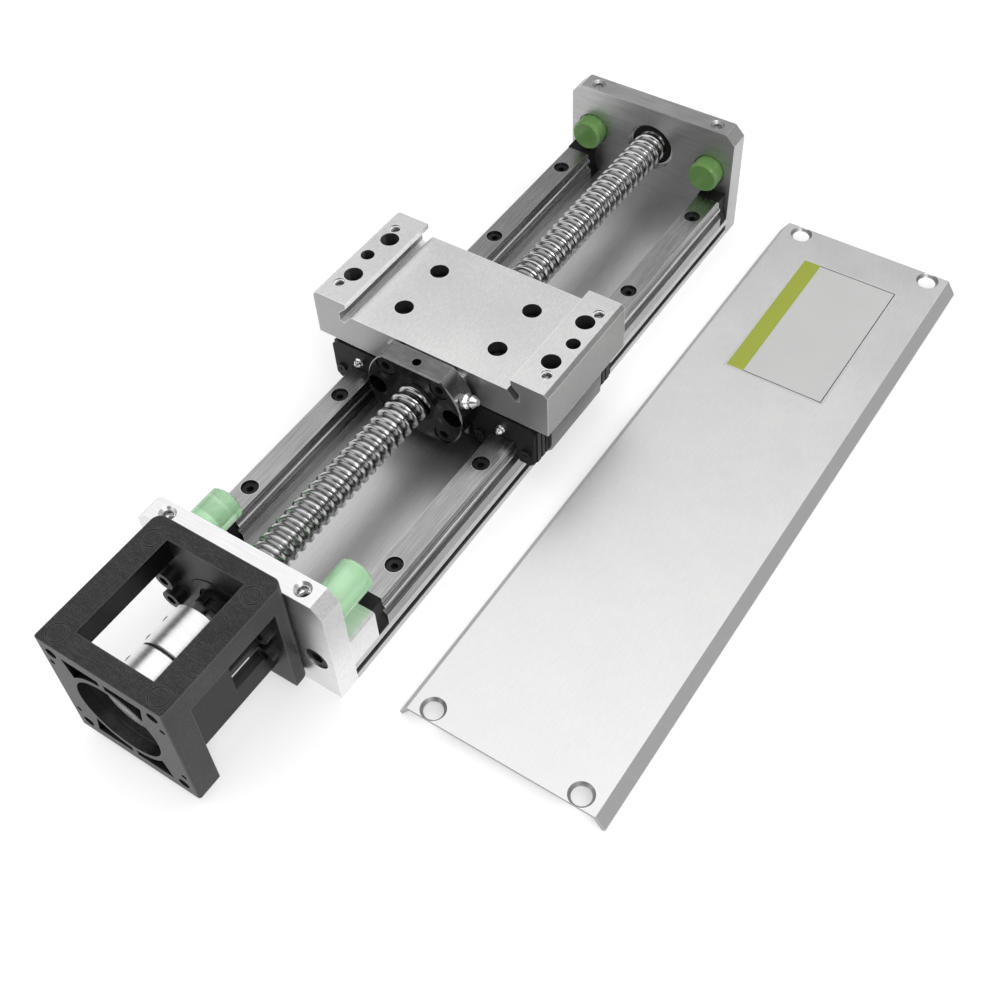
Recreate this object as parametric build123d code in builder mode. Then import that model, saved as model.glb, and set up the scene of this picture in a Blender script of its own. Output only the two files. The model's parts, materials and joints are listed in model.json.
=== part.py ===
from build123d import *
import math
import os

# Linear sliding table: a carriage on two profile rails, driven by a ball screw
# of 5 mm lead, with a motor housing in front and a sheet cover lying beside it.
# X is the direction of travel, away from the motor. Y is to the left seen from
# the motor, Z is up. The origin is the middle of the underside of the base.

os.makedirs("parts", exist_ok=True)

# Driving dimensions of the frame
INNER_LENGTH = 301.0
WIDTH = 88.6
BASE_HEIGHT = 10.0
PLATE_THICKNESS = 10.2
PLATE_HEIGHT = 57.8
PLATE_CORNER = 4.8
AXIS_Z = 36.3

# Clearances
RUNNING_GAP = 0.35
SLIDE_GAP = 0.3
SCREW_GAP = 0.05
PILOT_GAP = 0.2

NEAR_FACE = -INNER_LENGTH / 2
FAR_FACE = INNER_LENGTH / 2
NEAR_OUTER = NEAR_FACE - PLATE_THICKNESS
FAR_OUTER = FAR_FACE + PLATE_THICKNESS

# Rails
RAIL_Y = 36.7
RAIL_WIDTH = 15.0
RAIL_HEIGHT = 15.0
RAIL_PITCH = 60.0
RAIL_COUNTERBORE = 7.6
RAIL_COUNTERBORE_DEPTH = 5.3
RAIL_END_MARGIN = 12.0
RAIL_TOP = BASE_HEIGHT + RAIL_HEIGHT
END_BLOCK_LENGTH = 15.5
NEAR_BUFFER = 6.5
FAR_BUFFER = 7.0
RAIL_START = NEAR_FACE + END_BLOCK_LENGTH + NEAR_BUFFER
RAIL_END = FAR_FACE - FAR_BUFFER
RAIL_LENGTH = RAIL_END - RAIL_START
RAIL_CENTRE_X = (RAIL_START + RAIL_END) / 2
RAIL_HOLES = int((RAIL_LENGTH - 2 * RAIL_END_MARGIN) / RAIL_PITCH) + 1

# Ball screw, its journals and bearings
SCREW_RADIUS = 8.0
JOURNAL_RADIUS = 5.0
SHOULDER_RADIUS = 6.8
BEARING_WIDTH = 8.0
BEARING_OUTER = 13.0
BEARING_PITCH = 9.0
BEARING_BALL = 4.76
BEARING_BALLS = 9
INNER_RING = 7.4
OUTER_RING = 10.6
NEAR_LIP = 1.2
FAR_LIP = PLATE_THICKNESS - BEARING_WIDTH
FAR_LIP_BORE = 12.2
NEAR_LIP_BORE = 11.0

# Motor housing
HOUSING_SIZE = 59.2
HOUSING_LENGTH = 63.0
DECK_THICKNESS = 10.9
FRONT_FLANGE = 10.8
REAR_FLANGE = 7.7
WINDOW_WIDTH = 36.3
WALL_THICKNESS = 3.2
WALL_DROP = 21.0
PILOT_BORE = 38.1
PILOT_DEPTH = 4.5
PILOT_LEDGE = 0.8
MOTOR_PATTERN = 47.14
MOTOR_HOLE = 5.0
RETAINER_NOSE = 29.8
RETAINER_FLANGE = 40.0
RETAINER_FLANGE_THICKNESS = 3.0
HOUSING_FRONT = NEAR_OUTER - HOUSING_LENGTH
REAR_FLANGE_FACE = NEAR_OUTER - REAR_FLANGE

# Coupling
COUPLING_RADIUS = 12.5
COUPLING_START = -178.75
COUPLING_HALF = 19.0
COUPLING_DISC = 1.0
MOTOR_SHAFT = 8.0

# Carriage
CARRIAGE_X = -5.2
CARRIAGE_LENGTH = 60.0
CARRIAGE_WIDTH = 117.4
CARRIAGE_BOTTOM = 38.0
FIELD_TOP = 54.9
LAND_TOP = 61.3
LAND_INNER = 41.3
LAND_CHAMFER = 1.8
STEM_WIDTH = 38.4
STEM_BOTTOM = 17.3
STEM_TOP = 52.0
STEM_FORWARD = 1.4
CARRIAGE_FRONT = CARRIAGE_X - CARRIAGE_LENGTH / 2
STEM_FRONT = CARRIAGE_FRONT - STEM_FORWARD

# Guide blocks
BLOCK_WIDTH = 34.0
BLOCK_LENGTH = 39.4
BLOCK_BOTTOM = BASE_HEIGHT + 4.3
BLOCK_CAP = 9.0
BLOCK_SEAL = 2.0
CAP_WIDTH = 31.8
CAP_BOTTOM = BLOCK_BOTTOM + 0.5
CAP_TOP = CARRIAGE_BOTTOM - 0.6
BLOCK_PATTERN = 26.0

# Ball nut
NUT_BODY = 28.0
NUT_FLANGE = 48.0
NUT_FLANGE_FLAT = 19.0
NUT_FLANGE_THICKNESS = 10.0
NUT_BODY_LENGTH = 40.0
NUT_BOLT_CIRCLE = 38.0
NUT_BORE = SCREW_RADIUS + SLIDE_GAP
WIPER_OUTER = 10.5
WIPER_LENGTH = 3.0

# Bumpers
BUMPER_Y = 32.4
BUMPER_Z = 35.2
BUMPER_DIAMETER = 15.3
BUMPER_RECESS = 16.6
BUMPER_SEAT = 1.0
NEAR_BUMPER_LENGTH = 22.5
FAR_BUMPER_LENGTH = 7.3
SPIGOT_DIAMETER = 5.0
SPIGOT_LENGTH = 6.0

# Near end blocks and rail buffers
END_BLOCK_TOP = 26.0
PLATE_SCREW_Y = 35.6
PLATE_SCREW_Z = 20.9
BUFFER_TOP_WIDTH = 11.5

# Cover
COVER_MARGIN = 0.4
COVER_FLAT = 81.9
COVER_LENGTH = INNER_LENGTH + 2 * PLATE_THICKNESS - COVER_MARGIN
COVER_SHEET = 1.5
COVER_RUN = 4.2
COVER_DROP = 6.5
COVER_X = 6.65
COVER_Y = -111.8
COVER_HOLES_Y = 64.7
COVER_HOLE = 6.6
COVER_SINK = 10.4
COVER_TAP_DEPTH = 12.0

# Socket head screws by thread size: head diameter, head height, key width
SOCKET_HEADS = {3: (5.5, 3.0, 2.5), 4: (7.0, 4.0, 3.0), 5: (8.5, 5.0, 4.0), 6: (10.0, 6.0, 5.0)}
SIDES = (1, -1)
BOTTOM_ALIGN = (Align.CENTER, Align.CENTER, Align.MIN)
TOP_ALIGN = (Align.CENTER, Align.CENTER, Align.MAX)


def across(x):
    """Plane square to the travel at x, drawn in Y and Z."""
    return Plane(origin=(x, 0, 0), x_dir=(0, 1, 0), z_dir=(1, 0, 0))


def along(x, y, z):
    """Plane at a point, looking along the travel."""
    return Plane(origin=(x, y, z), x_dir=(0, 1, 0), z_dir=(1, 0, 0))


def against(x, y, z):
    """Plane at a point, looking back to the motor."""
    return Plane(origin=(x, y, z), x_dir=(0, 1, 0), z_dir=(-1, 0, 0))


def bar(start, length, radius, y=0.0, z=AXIS_Z, mode=Mode.ADD):
    """A round bar or hole along the travel, from start on."""
    with Locations(along(start, y, z)):
        Cylinder(radius, length, align=BOTTOM_ALIGN, mode=mode)


def cap_screw(seat, size, length):
    """A socket head screw with its head on the seat plane."""
    head, height, key = SOCKET_HEADS[size]
    with Locations(seat):
        Cylinder(head / 2, height, align=BOTTOM_ALIGN)
        Cylinder(size / 2, length, align=TOP_ALIGN)
    with BuildSketch(seat.offset(height)) as socket:
        RegularPolygon(key / math.sqrt(3), 6)
    extrude(socket.sketch, amount=-0.6 * height, mode=Mode.SUBTRACT)


def tapped(seat, size, depth):
    """A hole for a screw's thread, down from the seat plane."""
    with Locations(seat):
        Cylinder(size / 2 + SCREW_GAP, depth, align=TOP_ALIGN, mode=Mode.SUBTRACT)


def counterbored(seat, size, sink, depth):
    """A clearance hole whose counterbore floor lies on the seat plane."""
    head = SOCKET_HEADS[size][0]
    with Locations(seat):
        Cylinder(head / 2 + 0.4, sink, align=BOTTOM_ALIGN, mode=Mode.SUBTRACT)
        Cylinder(size / 2 + 0.25, depth, align=TOP_ALIGN, mode=Mode.SUBTRACT)


def rail_outline():
    """Rail section about its own middle: foot, waist with the lower race, head."""
    half = RAIL_WIDTH / 2
    with BuildSketch() as section:
        with BuildLine():
            Polyline((0, 0), (half, 0), (half, 5.6), (6.0, 7.1))
            ThreePointArc((6.0, 7.1), (5.5, 8.1), (6.2, 9.0))
            Polyline((6.2, 9.0), (6.9, 9.8), (6.9, 11.0))
            ThreePointArc((6.9, 11.0), (5.9, 12.1), (6.1, 13.4))
            Polyline((6.1, 13.4), (5.3, RAIL_HEIGHT), (0, RAIL_HEIGHT))
            mirror(about=Plane.YZ)
        make_face()
    return section.sketch


def rail_screw_places(side):
    """Middles of the rail's screw holes at the level of the rail's top."""
    span = RAIL_PITCH * (RAIL_HOLES - 1)
    return [(RAIL_CENTRE_X - span / 2 + i * RAIL_PITCH, side * RAIL_Y) for i in range(RAIL_HOLES)]


# Seats of the screws, shared by the screws and by their holes
RAIL_SEAT = RAIL_TOP - RAIL_COUNTERBORE_DEPTH
RAIL_SCREW_LENGTH = 16.0
PLATE_SCREW_SINK = 6.5
PLATE_SCREW_LENGTH = 16.0
PLATE_SCREW_SEATS = [against(NEAR_OUTER + PLATE_SCREW_SINK, s * PLATE_SCREW_Y, PLATE_SCREW_Z) for s in SIDES]
FAR_SCREW_SINK = 5.5
FAR_SCREW_LENGTH = 16.0
FAR_SCREW_Z = 5.2
FAR_SCREW_SEATS = [along(FAR_OUTER - FAR_SCREW_SINK, y, FAR_SCREW_Z) for y in (-33.0, -11.0, 11.0, 33.0)]
END_BLOCK_SCREW_SINK = 5.5
END_BLOCK_SCREW_LENGTH = 10.0
END_BLOCK_SCREW_X = NEAR_FACE + 0.5 * END_BLOCK_LENGTH
END_BLOCK_SEATS = [
    Plane(origin=(END_BLOCK_SCREW_X, s * RAIL_Y, END_BLOCK_SCREW_SINK), x_dir=(1, 0, 0), z_dir=(0, 0, -1))
    for s in SIDES
]
HOUSING_SCREW_Y = 22.8
HOUSING_SCREW_DZ = 6.2
HOUSING_SCREW_LENGTH = 14.0
HOUSING_SCREW_SEATS = [
    against(REAR_FLANGE_FACE, s * HOUSING_SCREW_Y, AXIS_Z + t * HOUSING_SCREW_DZ) for s in SIDES for t in SIDES
]

# Base: an extruded plank with a slot along each side
SLOT_MOUTH = 3.6
SLOT_INNER = 5.6
SLOT_LIP = 1.5
SLOT_DEPTH = 3.3
with BuildPart() as base_extrusion:
    with BuildSketch(across(NEAR_FACE)):
        with Locations((0, BASE_HEIGHT / 2)):
            Rectangle(WIDTH, BASE_HEIGHT)
        for side in SIDES:
            with Locations((side * WIDTH / 2, BASE_HEIGHT / 2)):
                Rectangle(2 * SLOT_LIP, SLOT_MOUTH, mode=Mode.SUBTRACT)
            with Locations((side * (WIDTH / 2 - (SLOT_LIP + SLOT_DEPTH) / 2), BASE_HEIGHT / 2)):
                Rectangle(SLOT_DEPTH - SLOT_LIP, SLOT_INNER, mode=Mode.SUBTRACT)
    extrude(amount=INNER_LENGTH)
    for side in SIDES:
        for x, y in rail_screw_places(side):
            tapped(Plane(origin=(x, y, BASE_HEIGHT)), 4, BASE_HEIGHT + RAIL_SCREW_LENGTH - RAIL_SEAT + 0.3)
    for seat in FAR_SCREW_SEATS:
        tapped(seat, 5, FAR_SCREW_LENGTH + 0.5)
    for seat in END_BLOCK_SEATS:
        counterbored(seat, 5, 2 * END_BLOCK_SCREW_SINK, BASE_HEIGHT)
base_extrusion.part.label = "base_extrusion"
export_step(base_extrusion.part, "parts/base_extrusion.step")


def make_rail(side):
    """One profile rail with its counterbored holes."""
    with BuildPart() as rail:
        with BuildSketch(along(RAIL_START, side * RAIL_Y, BASE_HEIGHT)):
            add(rail_outline())
        extrude(amount=RAIL_LENGTH)
        ends = rail.faces().filter_by(Axis.X).edges().filter_by(Axis.Y).group_by(Axis.Z)[-1]
        chamfer(ends, 0.6)
        with Locations([(x, y, RAIL_TOP) for x, y in rail_screw_places(side)]):
            CounterBoreHole(2.25, RAIL_COUNTERBORE / 2, RAIL_COUNTERBORE_DEPTH)
    return rail


left_rail = make_rail(1)
left_rail.part.label = "left_rail"
export_step(left_rail.part, "parts/left_rail.step")
right_rail = make_rail(-1)
right_rail.part.label = "right_rail"
export_step(right_rail.part, "parts/right_rail.step")


def make_rail_screws(side):
    """The row of screws that holds one rail."""
    with BuildPart() as screws:
        for x, y in rail_screw_places(side):
            cap_screw(Plane(origin=(x, y, RAIL_SEAT)), 4, RAIL_SCREW_LENGTH)
    return screws


left_rail_screws = make_rail_screws(1)
left_rail_screws.part.label = "left_rail_screws"
export_step(left_rail_screws.part, "parts/left_rail_screws.step")
right_rail_screws = make_rail_screws(-1)
right_rail_screws.part.label = "right_rail_screws"
export_step(right_rail_screws.part, "parts/right_rail_screws.step")

# Blocks at the motor end of the rails, which take the plate's screws
with BuildPart() as rail_end_blocks:
    for side in SIDES:
        with Locations((NEAR_FACE, side * RAIL_Y, BASE_HEIGHT)):
            Box(
                END_BLOCK_LENGTH,
                RAIL_WIDTH,
                END_BLOCK_TOP - BASE_HEIGHT,
                align=(Align.MIN, Align.CENTER, Align.MIN),
            )
    chamfer(rail_end_blocks.edges().filter_by(Axis.X).group_by(Axis.Z)[-1], 0.8)
    for seat in PLATE_SCREW_SEATS:
        tapped(seat, 6, PLATE_SCREW_LENGTH + 0.5)
    for seat in END_BLOCK_SEATS:
        tapped(seat, 5, END_BLOCK_SCREW_LENGTH + 0.5)
rail_end_blocks.part.label = "rail_end_blocks"
export_step(rail_end_blocks.part, "parts/rail_end_blocks.step")

with BuildPart() as end_block_screws:
    for seat in END_BLOCK_SEATS:
        cap_screw(seat, 5, END_BLOCK_SCREW_LENGTH)
end_block_screws.part.label = "end_block_screws"
export_step(end_block_screws.part, "parts/end_block_screws.step")


def buffer_outline():
    """Rubber buffer section: narrow on top, with hollow flanks that run out to the foot."""
    top = BUFFER_TOP_WIDTH / 2
    foot = RAIL_WIDTH / 2
    with BuildSketch() as section:
        with BuildLine():
            Polyline((0, RAIL_HEIGHT), (top, RAIL_HEIGHT), (top, 10.0))
            ThreePointArc((top, 10.0), (top + 0.35, 4.6), (foot, 1.2))
            Polyline((foot, 1.2), (foot, 0), (0, 0))
            mirror(about=Plane.YZ)
        make_face()
    return section.sketch


# Rubber buffers at both ends of each rail
with BuildPart() as rail_end_buffers:
    for side in SIDES:
        for start, end in ((NEAR_FACE + END_BLOCK_LENGTH, RAIL_START), (RAIL_END, FAR_FACE)):
            with BuildSketch(along(start, side * RAIL_Y, BASE_HEIGHT)):
                add(buffer_outline())
            extrude(amount=end - start)
rail_end_buffers.part.label = "rail_end_buffers"
export_step(rail_end_buffers.part, "parts/rail_end_buffers.step")


def plate_blank(start):
    """An end plate with cut upper corners and two tapped holes for the cover in its top."""
    with BuildSketch(across(start)) as outline:
        with Locations((0, PLATE_HEIGHT / 2)):
            Rectangle(WIDTH, PLATE_HEIGHT)
        chamfer(outline.vertices().group_by(Axis.Y)[-1], PLATE_CORNER)
    extrude(outline.sketch, amount=PLATE_THICKNESS)
    for side in SIDES:
        with Locations((start + PLATE_THICKNESS / 2, side * COVER_HOLES_Y / 2, PLATE_HEIGHT)):
            CounterSinkHole(2.6, 3.6, COVER_TAP_DEPTH)


# Plate at the motor end, with the seat of the fixed bearing
with BuildPart() as motor_end_plate:
    plate_blank(NEAR_OUTER)
    bar(NEAR_OUTER, PLATE_THICKNESS, NEAR_LIP_BORE, mode=Mode.SUBTRACT)
    bar(NEAR_OUTER, PLATE_THICKNESS - NEAR_LIP, BEARING_OUTER, mode=Mode.SUBTRACT)
    for seat in PLATE_SCREW_SEATS:
        counterbored(seat, 6, 2 * PLATE_SCREW_SINK, PLATE_THICKNESS)
    for seat in HOUSING_SCREW_SEATS:
        tapped(seat, 5, HOUSING_SCREW_LENGTH + 0.5)
    for side in SIDES:
        bar(NEAR_FACE - BUMPER_SEAT, 2 * BUMPER_SEAT, BUMPER_RECESS / 2, side * BUMPER_Y, BUMPER_Z, Mode.SUBTRACT)
        bar(
            NEAR_FACE - BUMPER_SEAT - SPIGOT_LENGTH - 0.2,
            2 * SPIGOT_LENGTH,
            SPIGOT_DIAMETER / 2 + SCREW_GAP,
            side * BUMPER_Y,
            BUMPER_Z,
            Mode.SUBTRACT,
        )
motor_end_plate.part.label = "motor_end_plate"
export_step(motor_end_plate.part, "parts/motor_end_plate.step")

# Plate at the far end, with the seat of the support bearing
with BuildPart() as far_end_plate:
    plate_blank(FAR_FACE)
    bar(FAR_FACE, PLATE_THICKNESS, FAR_LIP_BORE, mode=Mode.SUBTRACT)
    bar(FAR_FACE + FAR_LIP, PLATE_THICKNESS, BEARING_OUTER, mode=Mode.SUBTRACT)
    for seat in FAR_SCREW_SEATS:
        counterbored(seat, 5, 2 * FAR_SCREW_SINK, PLATE_THICKNESS)
    for side in SIDES:
        bar(FAR_FACE - BUMPER_SEAT, 2 * BUMPER_SEAT, BUMPER_RECESS / 2, side * BUMPER_Y, BUMPER_Z, Mode.SUBTRACT)
        bar(
            FAR_FACE - SPIGOT_LENGTH,
            BUMPER_SEAT + 2 * SPIGOT_LENGTH + 0.2,
            SPIGOT_DIAMETER / 2 + SCREW_GAP,
            side * BUMPER_Y,
            BUMPER_Z,
            Mode.SUBTRACT,
        )
far_end_plate.part.label = "far_end_plate"
export_step(far_end_plate.part, "parts/far_end_plate.step")

with BuildPart() as motor_plate_screws:
    for seat in PLATE_SCREW_SEATS:
        cap_screw(seat, 6, PLATE_SCREW_LENGTH)
motor_plate_screws.part.label = "motor_plate_screws"
export_step(motor_plate_screws.part, "parts/motor_plate_screws.step")

with BuildPart() as far_plate_screws:
    for seat in FAR_SCREW_SEATS:
        cap_screw(seat, 5, FAR_SCREW_LENGTH)
far_plate_screws.part.label = "far_plate_screws"
export_step(far_plate_screws.part, "parts/far_plate_screws.step")


def bumper(face, direction, length):
    """A soft round stop that stands off a plate, with a spigot in the plate."""
    seat = face - direction * BUMPER_SEAT
    for side in SIDES:
        place = along if direction > 0 else against
        with Locations(place(seat, side * BUMPER_Y, BUMPER_Z)):
            Cylinder(BUMPER_DIAMETER / 2, BUMPER_SEAT + length, align=BOTTOM_ALIGN)
            Cylinder(SPIGOT_DIAMETER / 2, SPIGOT_LENGTH, align=TOP_ALIGN)


with BuildPart() as near_bumpers:
    bumper(NEAR_FACE, 1, NEAR_BUMPER_LENGTH)
    chamfer(near_bumpers.edges().filter_by(GeomType.CIRCLE).group_by(Axis.X)[-1], 0.8)
near_bumpers.part.label = "near_bumpers"
export_step(near_bumpers.part, "parts/near_bumpers.step")

with BuildPart() as far_bumpers:
    bumper(FAR_FACE, -1, FAR_BUMPER_LENGTH)
    chamfer(far_bumpers.edges().filter_by(GeomType.CIRCLE).group_by(Axis.X)[0], 0.8)
far_bumpers.part.label = "far_bumpers"
export_step(far_bumpers.part, "parts/far_bumpers.step")

# Motor housing: a cast frame with a face for the motor, an open window in its deck,
# a recessed wall on the right and an open left side and bottom
HALF = HOUSING_SIZE / 2
POCKET_RIM = PILOT_BORE / 2 + 2.2
POCKET_TOP = 24.6
POCKET_DEPTH = 8.0
RIB_HALF = 1.2
PILOT_HOLE_Y = 25.8
PILOT_HOLE_Z = 16.3
HEAD_WAY = 20.0
MARK_RADIUS = 4.0
MARK_X = 50.0


def flange_pocket(side, up):
    """A lightening pocket between the rim of the bore and one half of an edge."""
    rim_z = math.sqrt(POCKET_RIM**2 - RIB_HALF**2)
    tip = POCKET_RIM * 0.76
    tip_z = math.sqrt(POCKET_RIM**2 - tip**2)
    middle = POCKET_RIM * math.sin(math.radians(26))
    middle_z = POCKET_RIM * math.cos(math.radians(26))
    with BuildSketch() as pocket:
        with BuildLine():
            Polyline(
                (side * RIB_HALF, up * rim_z),
                (side * RIB_HALF, up * POCKET_TOP),
                (side * 18.6, up * POCKET_TOP),
                (side * tip, up * tip_z),
            )
            ThreePointArc(
                (side * tip, up * tip_z),
                (side * middle, up * middle_z),
                (side * RIB_HALF, up * rim_z),
            )
        make_face()
    return pocket.sketch


with BuildPart() as motor_housing:
    with BuildSketch(along(HOUSING_FRONT, 0, AXIS_Z)):
        Rectangle(HOUSING_SIZE, HOUSING_SIZE)
    extrude(amount=FRONT_FLANGE)
    with BuildSketch(along(REAR_FLANGE_FACE, 0, AXIS_Z)):
        Rectangle(HOUSING_SIZE, HOUSING_SIZE)
    extrude(amount=REAR_FLANGE)
    with Locations((HOUSING_FRONT, 0, AXIS_Z + HALF)):
        Box(HOUSING_LENGTH, HOUSING_SIZE, DECK_THICKNESS, align=(Align.MIN, Align.CENTER, Align.MAX))
    with Locations((HOUSING_FRONT, -WINDOW_WIDTH / 2, AXIS_Z + HALF)):
        Box(HOUSING_LENGTH, WALL_THICKNESS, HALF + WALL_DROP, align=(Align.MIN, Align.MAX, Align.MAX))
    corners = motor_housing.edges().filter_by(Axis.Z).group_by(Axis.X)
    fillet(corners[-1], 4.0)
    fillet(motor_housing.edges().filter_by(Axis.Z).group_by(Axis.X)[0], 1.2)
    with Locations((HOUSING_FRONT + FRONT_FLANGE - 1.8, 0, AXIS_Z + HALF)):
        Box(
            HOUSING_LENGTH - FRONT_FLANGE - REAR_FLANGE + 1.8,
            WINDOW_WIDTH,
            DECK_THICKNESS,
            align=(Align.MIN, Align.CENTER, Align.MAX),
            mode=Mode.SUBTRACT,
        )
    bar(HOUSING_FRONT, PILOT_DEPTH, PILOT_BORE / 2, mode=Mode.SUBTRACT)
    bar(HOUSING_FRONT, FRONT_FLANGE, PILOT_BORE / 2 - PILOT_LEDGE, mode=Mode.SUBTRACT)
    bar(REAR_FLANGE_FACE, REAR_FLANGE, RETAINER_NOSE / 2 + PILOT_GAP, mode=Mode.SUBTRACT)
    bar(
        NEAR_OUTER - RETAINER_FLANGE_THICKNESS,
        RETAINER_FLANGE_THICKNESS,
        RETAINER_FLANGE / 2 + PILOT_GAP,
        mode=Mode.SUBTRACT,
    )
    for side in SIDES:
        for up in SIDES:
            half_pattern = MOTOR_PATTERN / 2
            bar(HOUSING_FRONT, FRONT_FLANGE, MOTOR_HOLE / 2, side * half_pattern, AXIS_Z + up * half_pattern, Mode.SUBTRACT)
            bar(HOUSING_FRONT, 6.0, 1.3, side * PILOT_HOLE_Y, AXIS_Z + up * PILOT_HOLE_Z, Mode.SUBTRACT)
            with BuildSketch(along(HOUSING_FRONT, 0, AXIS_Z)):
                add(flange_pocket(side, up))
            extrude(amount=POCKET_DEPTH, mode=Mode.SUBTRACT)
    for seat in HOUSING_SCREW_SEATS:
        with Locations(seat):
            Cylinder(2.75, REAR_FLANGE, align=TOP_ALIGN, mode=Mode.SUBTRACT)
            Cylinder(SOCKET_HEADS[5][0] / 2 + 0.75, HEAD_WAY, align=BOTTOM_ALIGN, mode=Mode.SUBTRACT)
    with BuildSketch(Plane.XY.offset(AXIS_Z + HALF)):
        for x in (HOUSING_FRONT + 5.5, REAR_FLANGE_FACE - 2.4):
            for side in SIDES:
                with Locations((x, side * 23.6)):
                    Circle(MARK_RADIUS)
                    Circle(MARK_RADIUS - 0.35, mode=Mode.SUBTRACT)
    extrude(amount=-0.3, mode=Mode.SUBTRACT)
motor_housing.part.label = "motor_housing"
export_step(motor_housing.part, "parts/motor_housing.step")

with BuildPart() as housing_screws:
    for seat in HOUSING_SCREW_SEATS:
        cap_screw(seat, 5, HOUSING_SCREW_LENGTH)
housing_screws.part.label = "housing_screws"
export_step(housing_screws.part, "parts/housing_screws.step")

# Fixed bearing: two rows side by side, half in the plate and half in the retainer
FIXED_INNER_END = NEAR_FACE - NEAR_LIP
FIXED_START = FIXED_INNER_END - 2 * BEARING_WIDTH
RETAINER_FRONT = FIXED_START - 1.0
FAR_START = FAR_FACE + FAR_LIP

with BuildPart() as bearing_retainer:
    bar(RETAINER_FRONT, NEAR_OUTER - RETAINER_FRONT, RETAINER_NOSE / 2)
    bar(NEAR_OUTER - RETAINER_FLANGE_THICKNESS, RETAINER_FLANGE_THICKNESS, RETAINER_FLANGE / 2)
    bar(RETAINER_FRONT, NEAR_OUTER - RETAINER_FRONT, OUTER_RING, mode=Mode.SUBTRACT)
    bar(FIXED_START, NEAR_OUTER - FIXED_START, BEARING_OUTER, mode=Mode.SUBTRACT)
bearing_retainer.part.label = "bearing_retainer"
export_step(bearing_retainer.part, "parts/bearing_retainer.step")


def ball_places(start, rows):
    """Middles of the balls of a bearing, row by row."""
    step = 360 / BEARING_BALLS
    return [
        (
            start + (row + 0.5) * BEARING_WIDTH,
            BEARING_PITCH * math.cos(math.radians(i * step)),
            AXIS_Z + BEARING_PITCH * math.sin(math.radians(i * step)),
        )
        for row in range(rows)
        for i in range(BEARING_BALLS)
    ]


def race(start, rows):
    """Cuts the ball races into the ring under construction."""
    for row in range(rows):
        with Locations(along(start + (row + 0.5) * BEARING_WIDTH, 0, AXIS_Z)):
            Torus(BEARING_PITCH, BEARING_BALL / 2 + SCREW_GAP, mode=Mode.SUBTRACT)


def outer_ring(start, rows):
    """The ring that sits in a plate."""
    with BuildPart() as ring:
        bar(start, rows * BEARING_WIDTH, BEARING_OUTER)
        bar(start, rows * BEARING_WIDTH, OUTER_RING, mode=Mode.SUBTRACT)
        race(start, rows)
    return ring


def inner_ring(start, rows):
    """The ring that sits on the screw's journal."""
    with BuildPart() as ring:
        bar(start, rows * BEARING_WIDTH, INNER_RING)
        bar(start, rows * BEARING_WIDTH, JOURNAL_RADIUS, mode=Mode.SUBTRACT)
        race(start, rows)
    return ring


def ball_row(start, rows):
    """The balls between the two rings."""
    with BuildPart() as balls:
        with Locations(ball_places(start, rows)):
            Sphere(BEARING_BALL / 2)
    return balls


fixed_bearing_outer = outer_ring(FIXED_START, 2)
fixed_bearing_outer.part.label = "fixed_bearing_outer"
export_step(fixed_bearing_outer.part, "parts/fixed_bearing_outer.step")
fixed_bearing_inner = inner_ring(FIXED_START, 2)
fixed_bearing_inner.part.label = "fixed_bearing_inner"
export_step(fixed_bearing_inner.part, "parts/fixed_bearing_inner.step")
fixed_bearing_balls = ball_row(FIXED_START, 2)
fixed_bearing_balls.part.label = "fixed_bearing_balls"
export_step(fixed_bearing_balls.part, "parts/fixed_bearing_balls.step")
far_bearing_outer = outer_ring(FAR_START, 1)
far_bearing_outer.part.label = "far_bearing_outer"
export_step(far_bearing_outer.part, "parts/far_bearing_outer.step")
far_bearing_inner = inner_ring(FAR_START, 1)
far_bearing_inner.part.label = "far_bearing_inner"
export_step(far_bearing_inner.part, "parts/far_bearing_inner.step")
far_bearing_balls = ball_row(FAR_START, 1)
far_bearing_balls.part.label = "far_bearing_balls"
export_step(far_bearing_balls.part, "parts/far_bearing_balls.step")

# Black seals that close both faces of each bearing, held by the outer ring
SEAL_THICKNESS = 0.6
SEAL_INSET = 0.3


def ring_seals(start, rows):
    """A thin ring at each end of the bearing."""
    far_side = start + rows * BEARING_WIDTH - SEAL_INSET - SEAL_THICKNESS
    with BuildPart() as seals:
        for place in (start + SEAL_INSET, far_side):
            bar(place, SEAL_THICKNESS, OUTER_RING)
            bar(place, SEAL_THICKNESS, INNER_RING + SCREW_GAP, mode=Mode.SUBTRACT)
    return seals


fixed_bearing_seals = ring_seals(FIXED_START, 2)
fixed_bearing_seals.part.label = "fixed_bearing_seals"
export_step(fixed_bearing_seals.part, "parts/fixed_bearing_seals.step")
far_bearing_seals = ring_seals(FAR_START, 1)
far_bearing_seals.part.label = "far_bearing_seals"
export_step(far_bearing_seals.part, "parts/far_bearing_seals.step")

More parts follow.
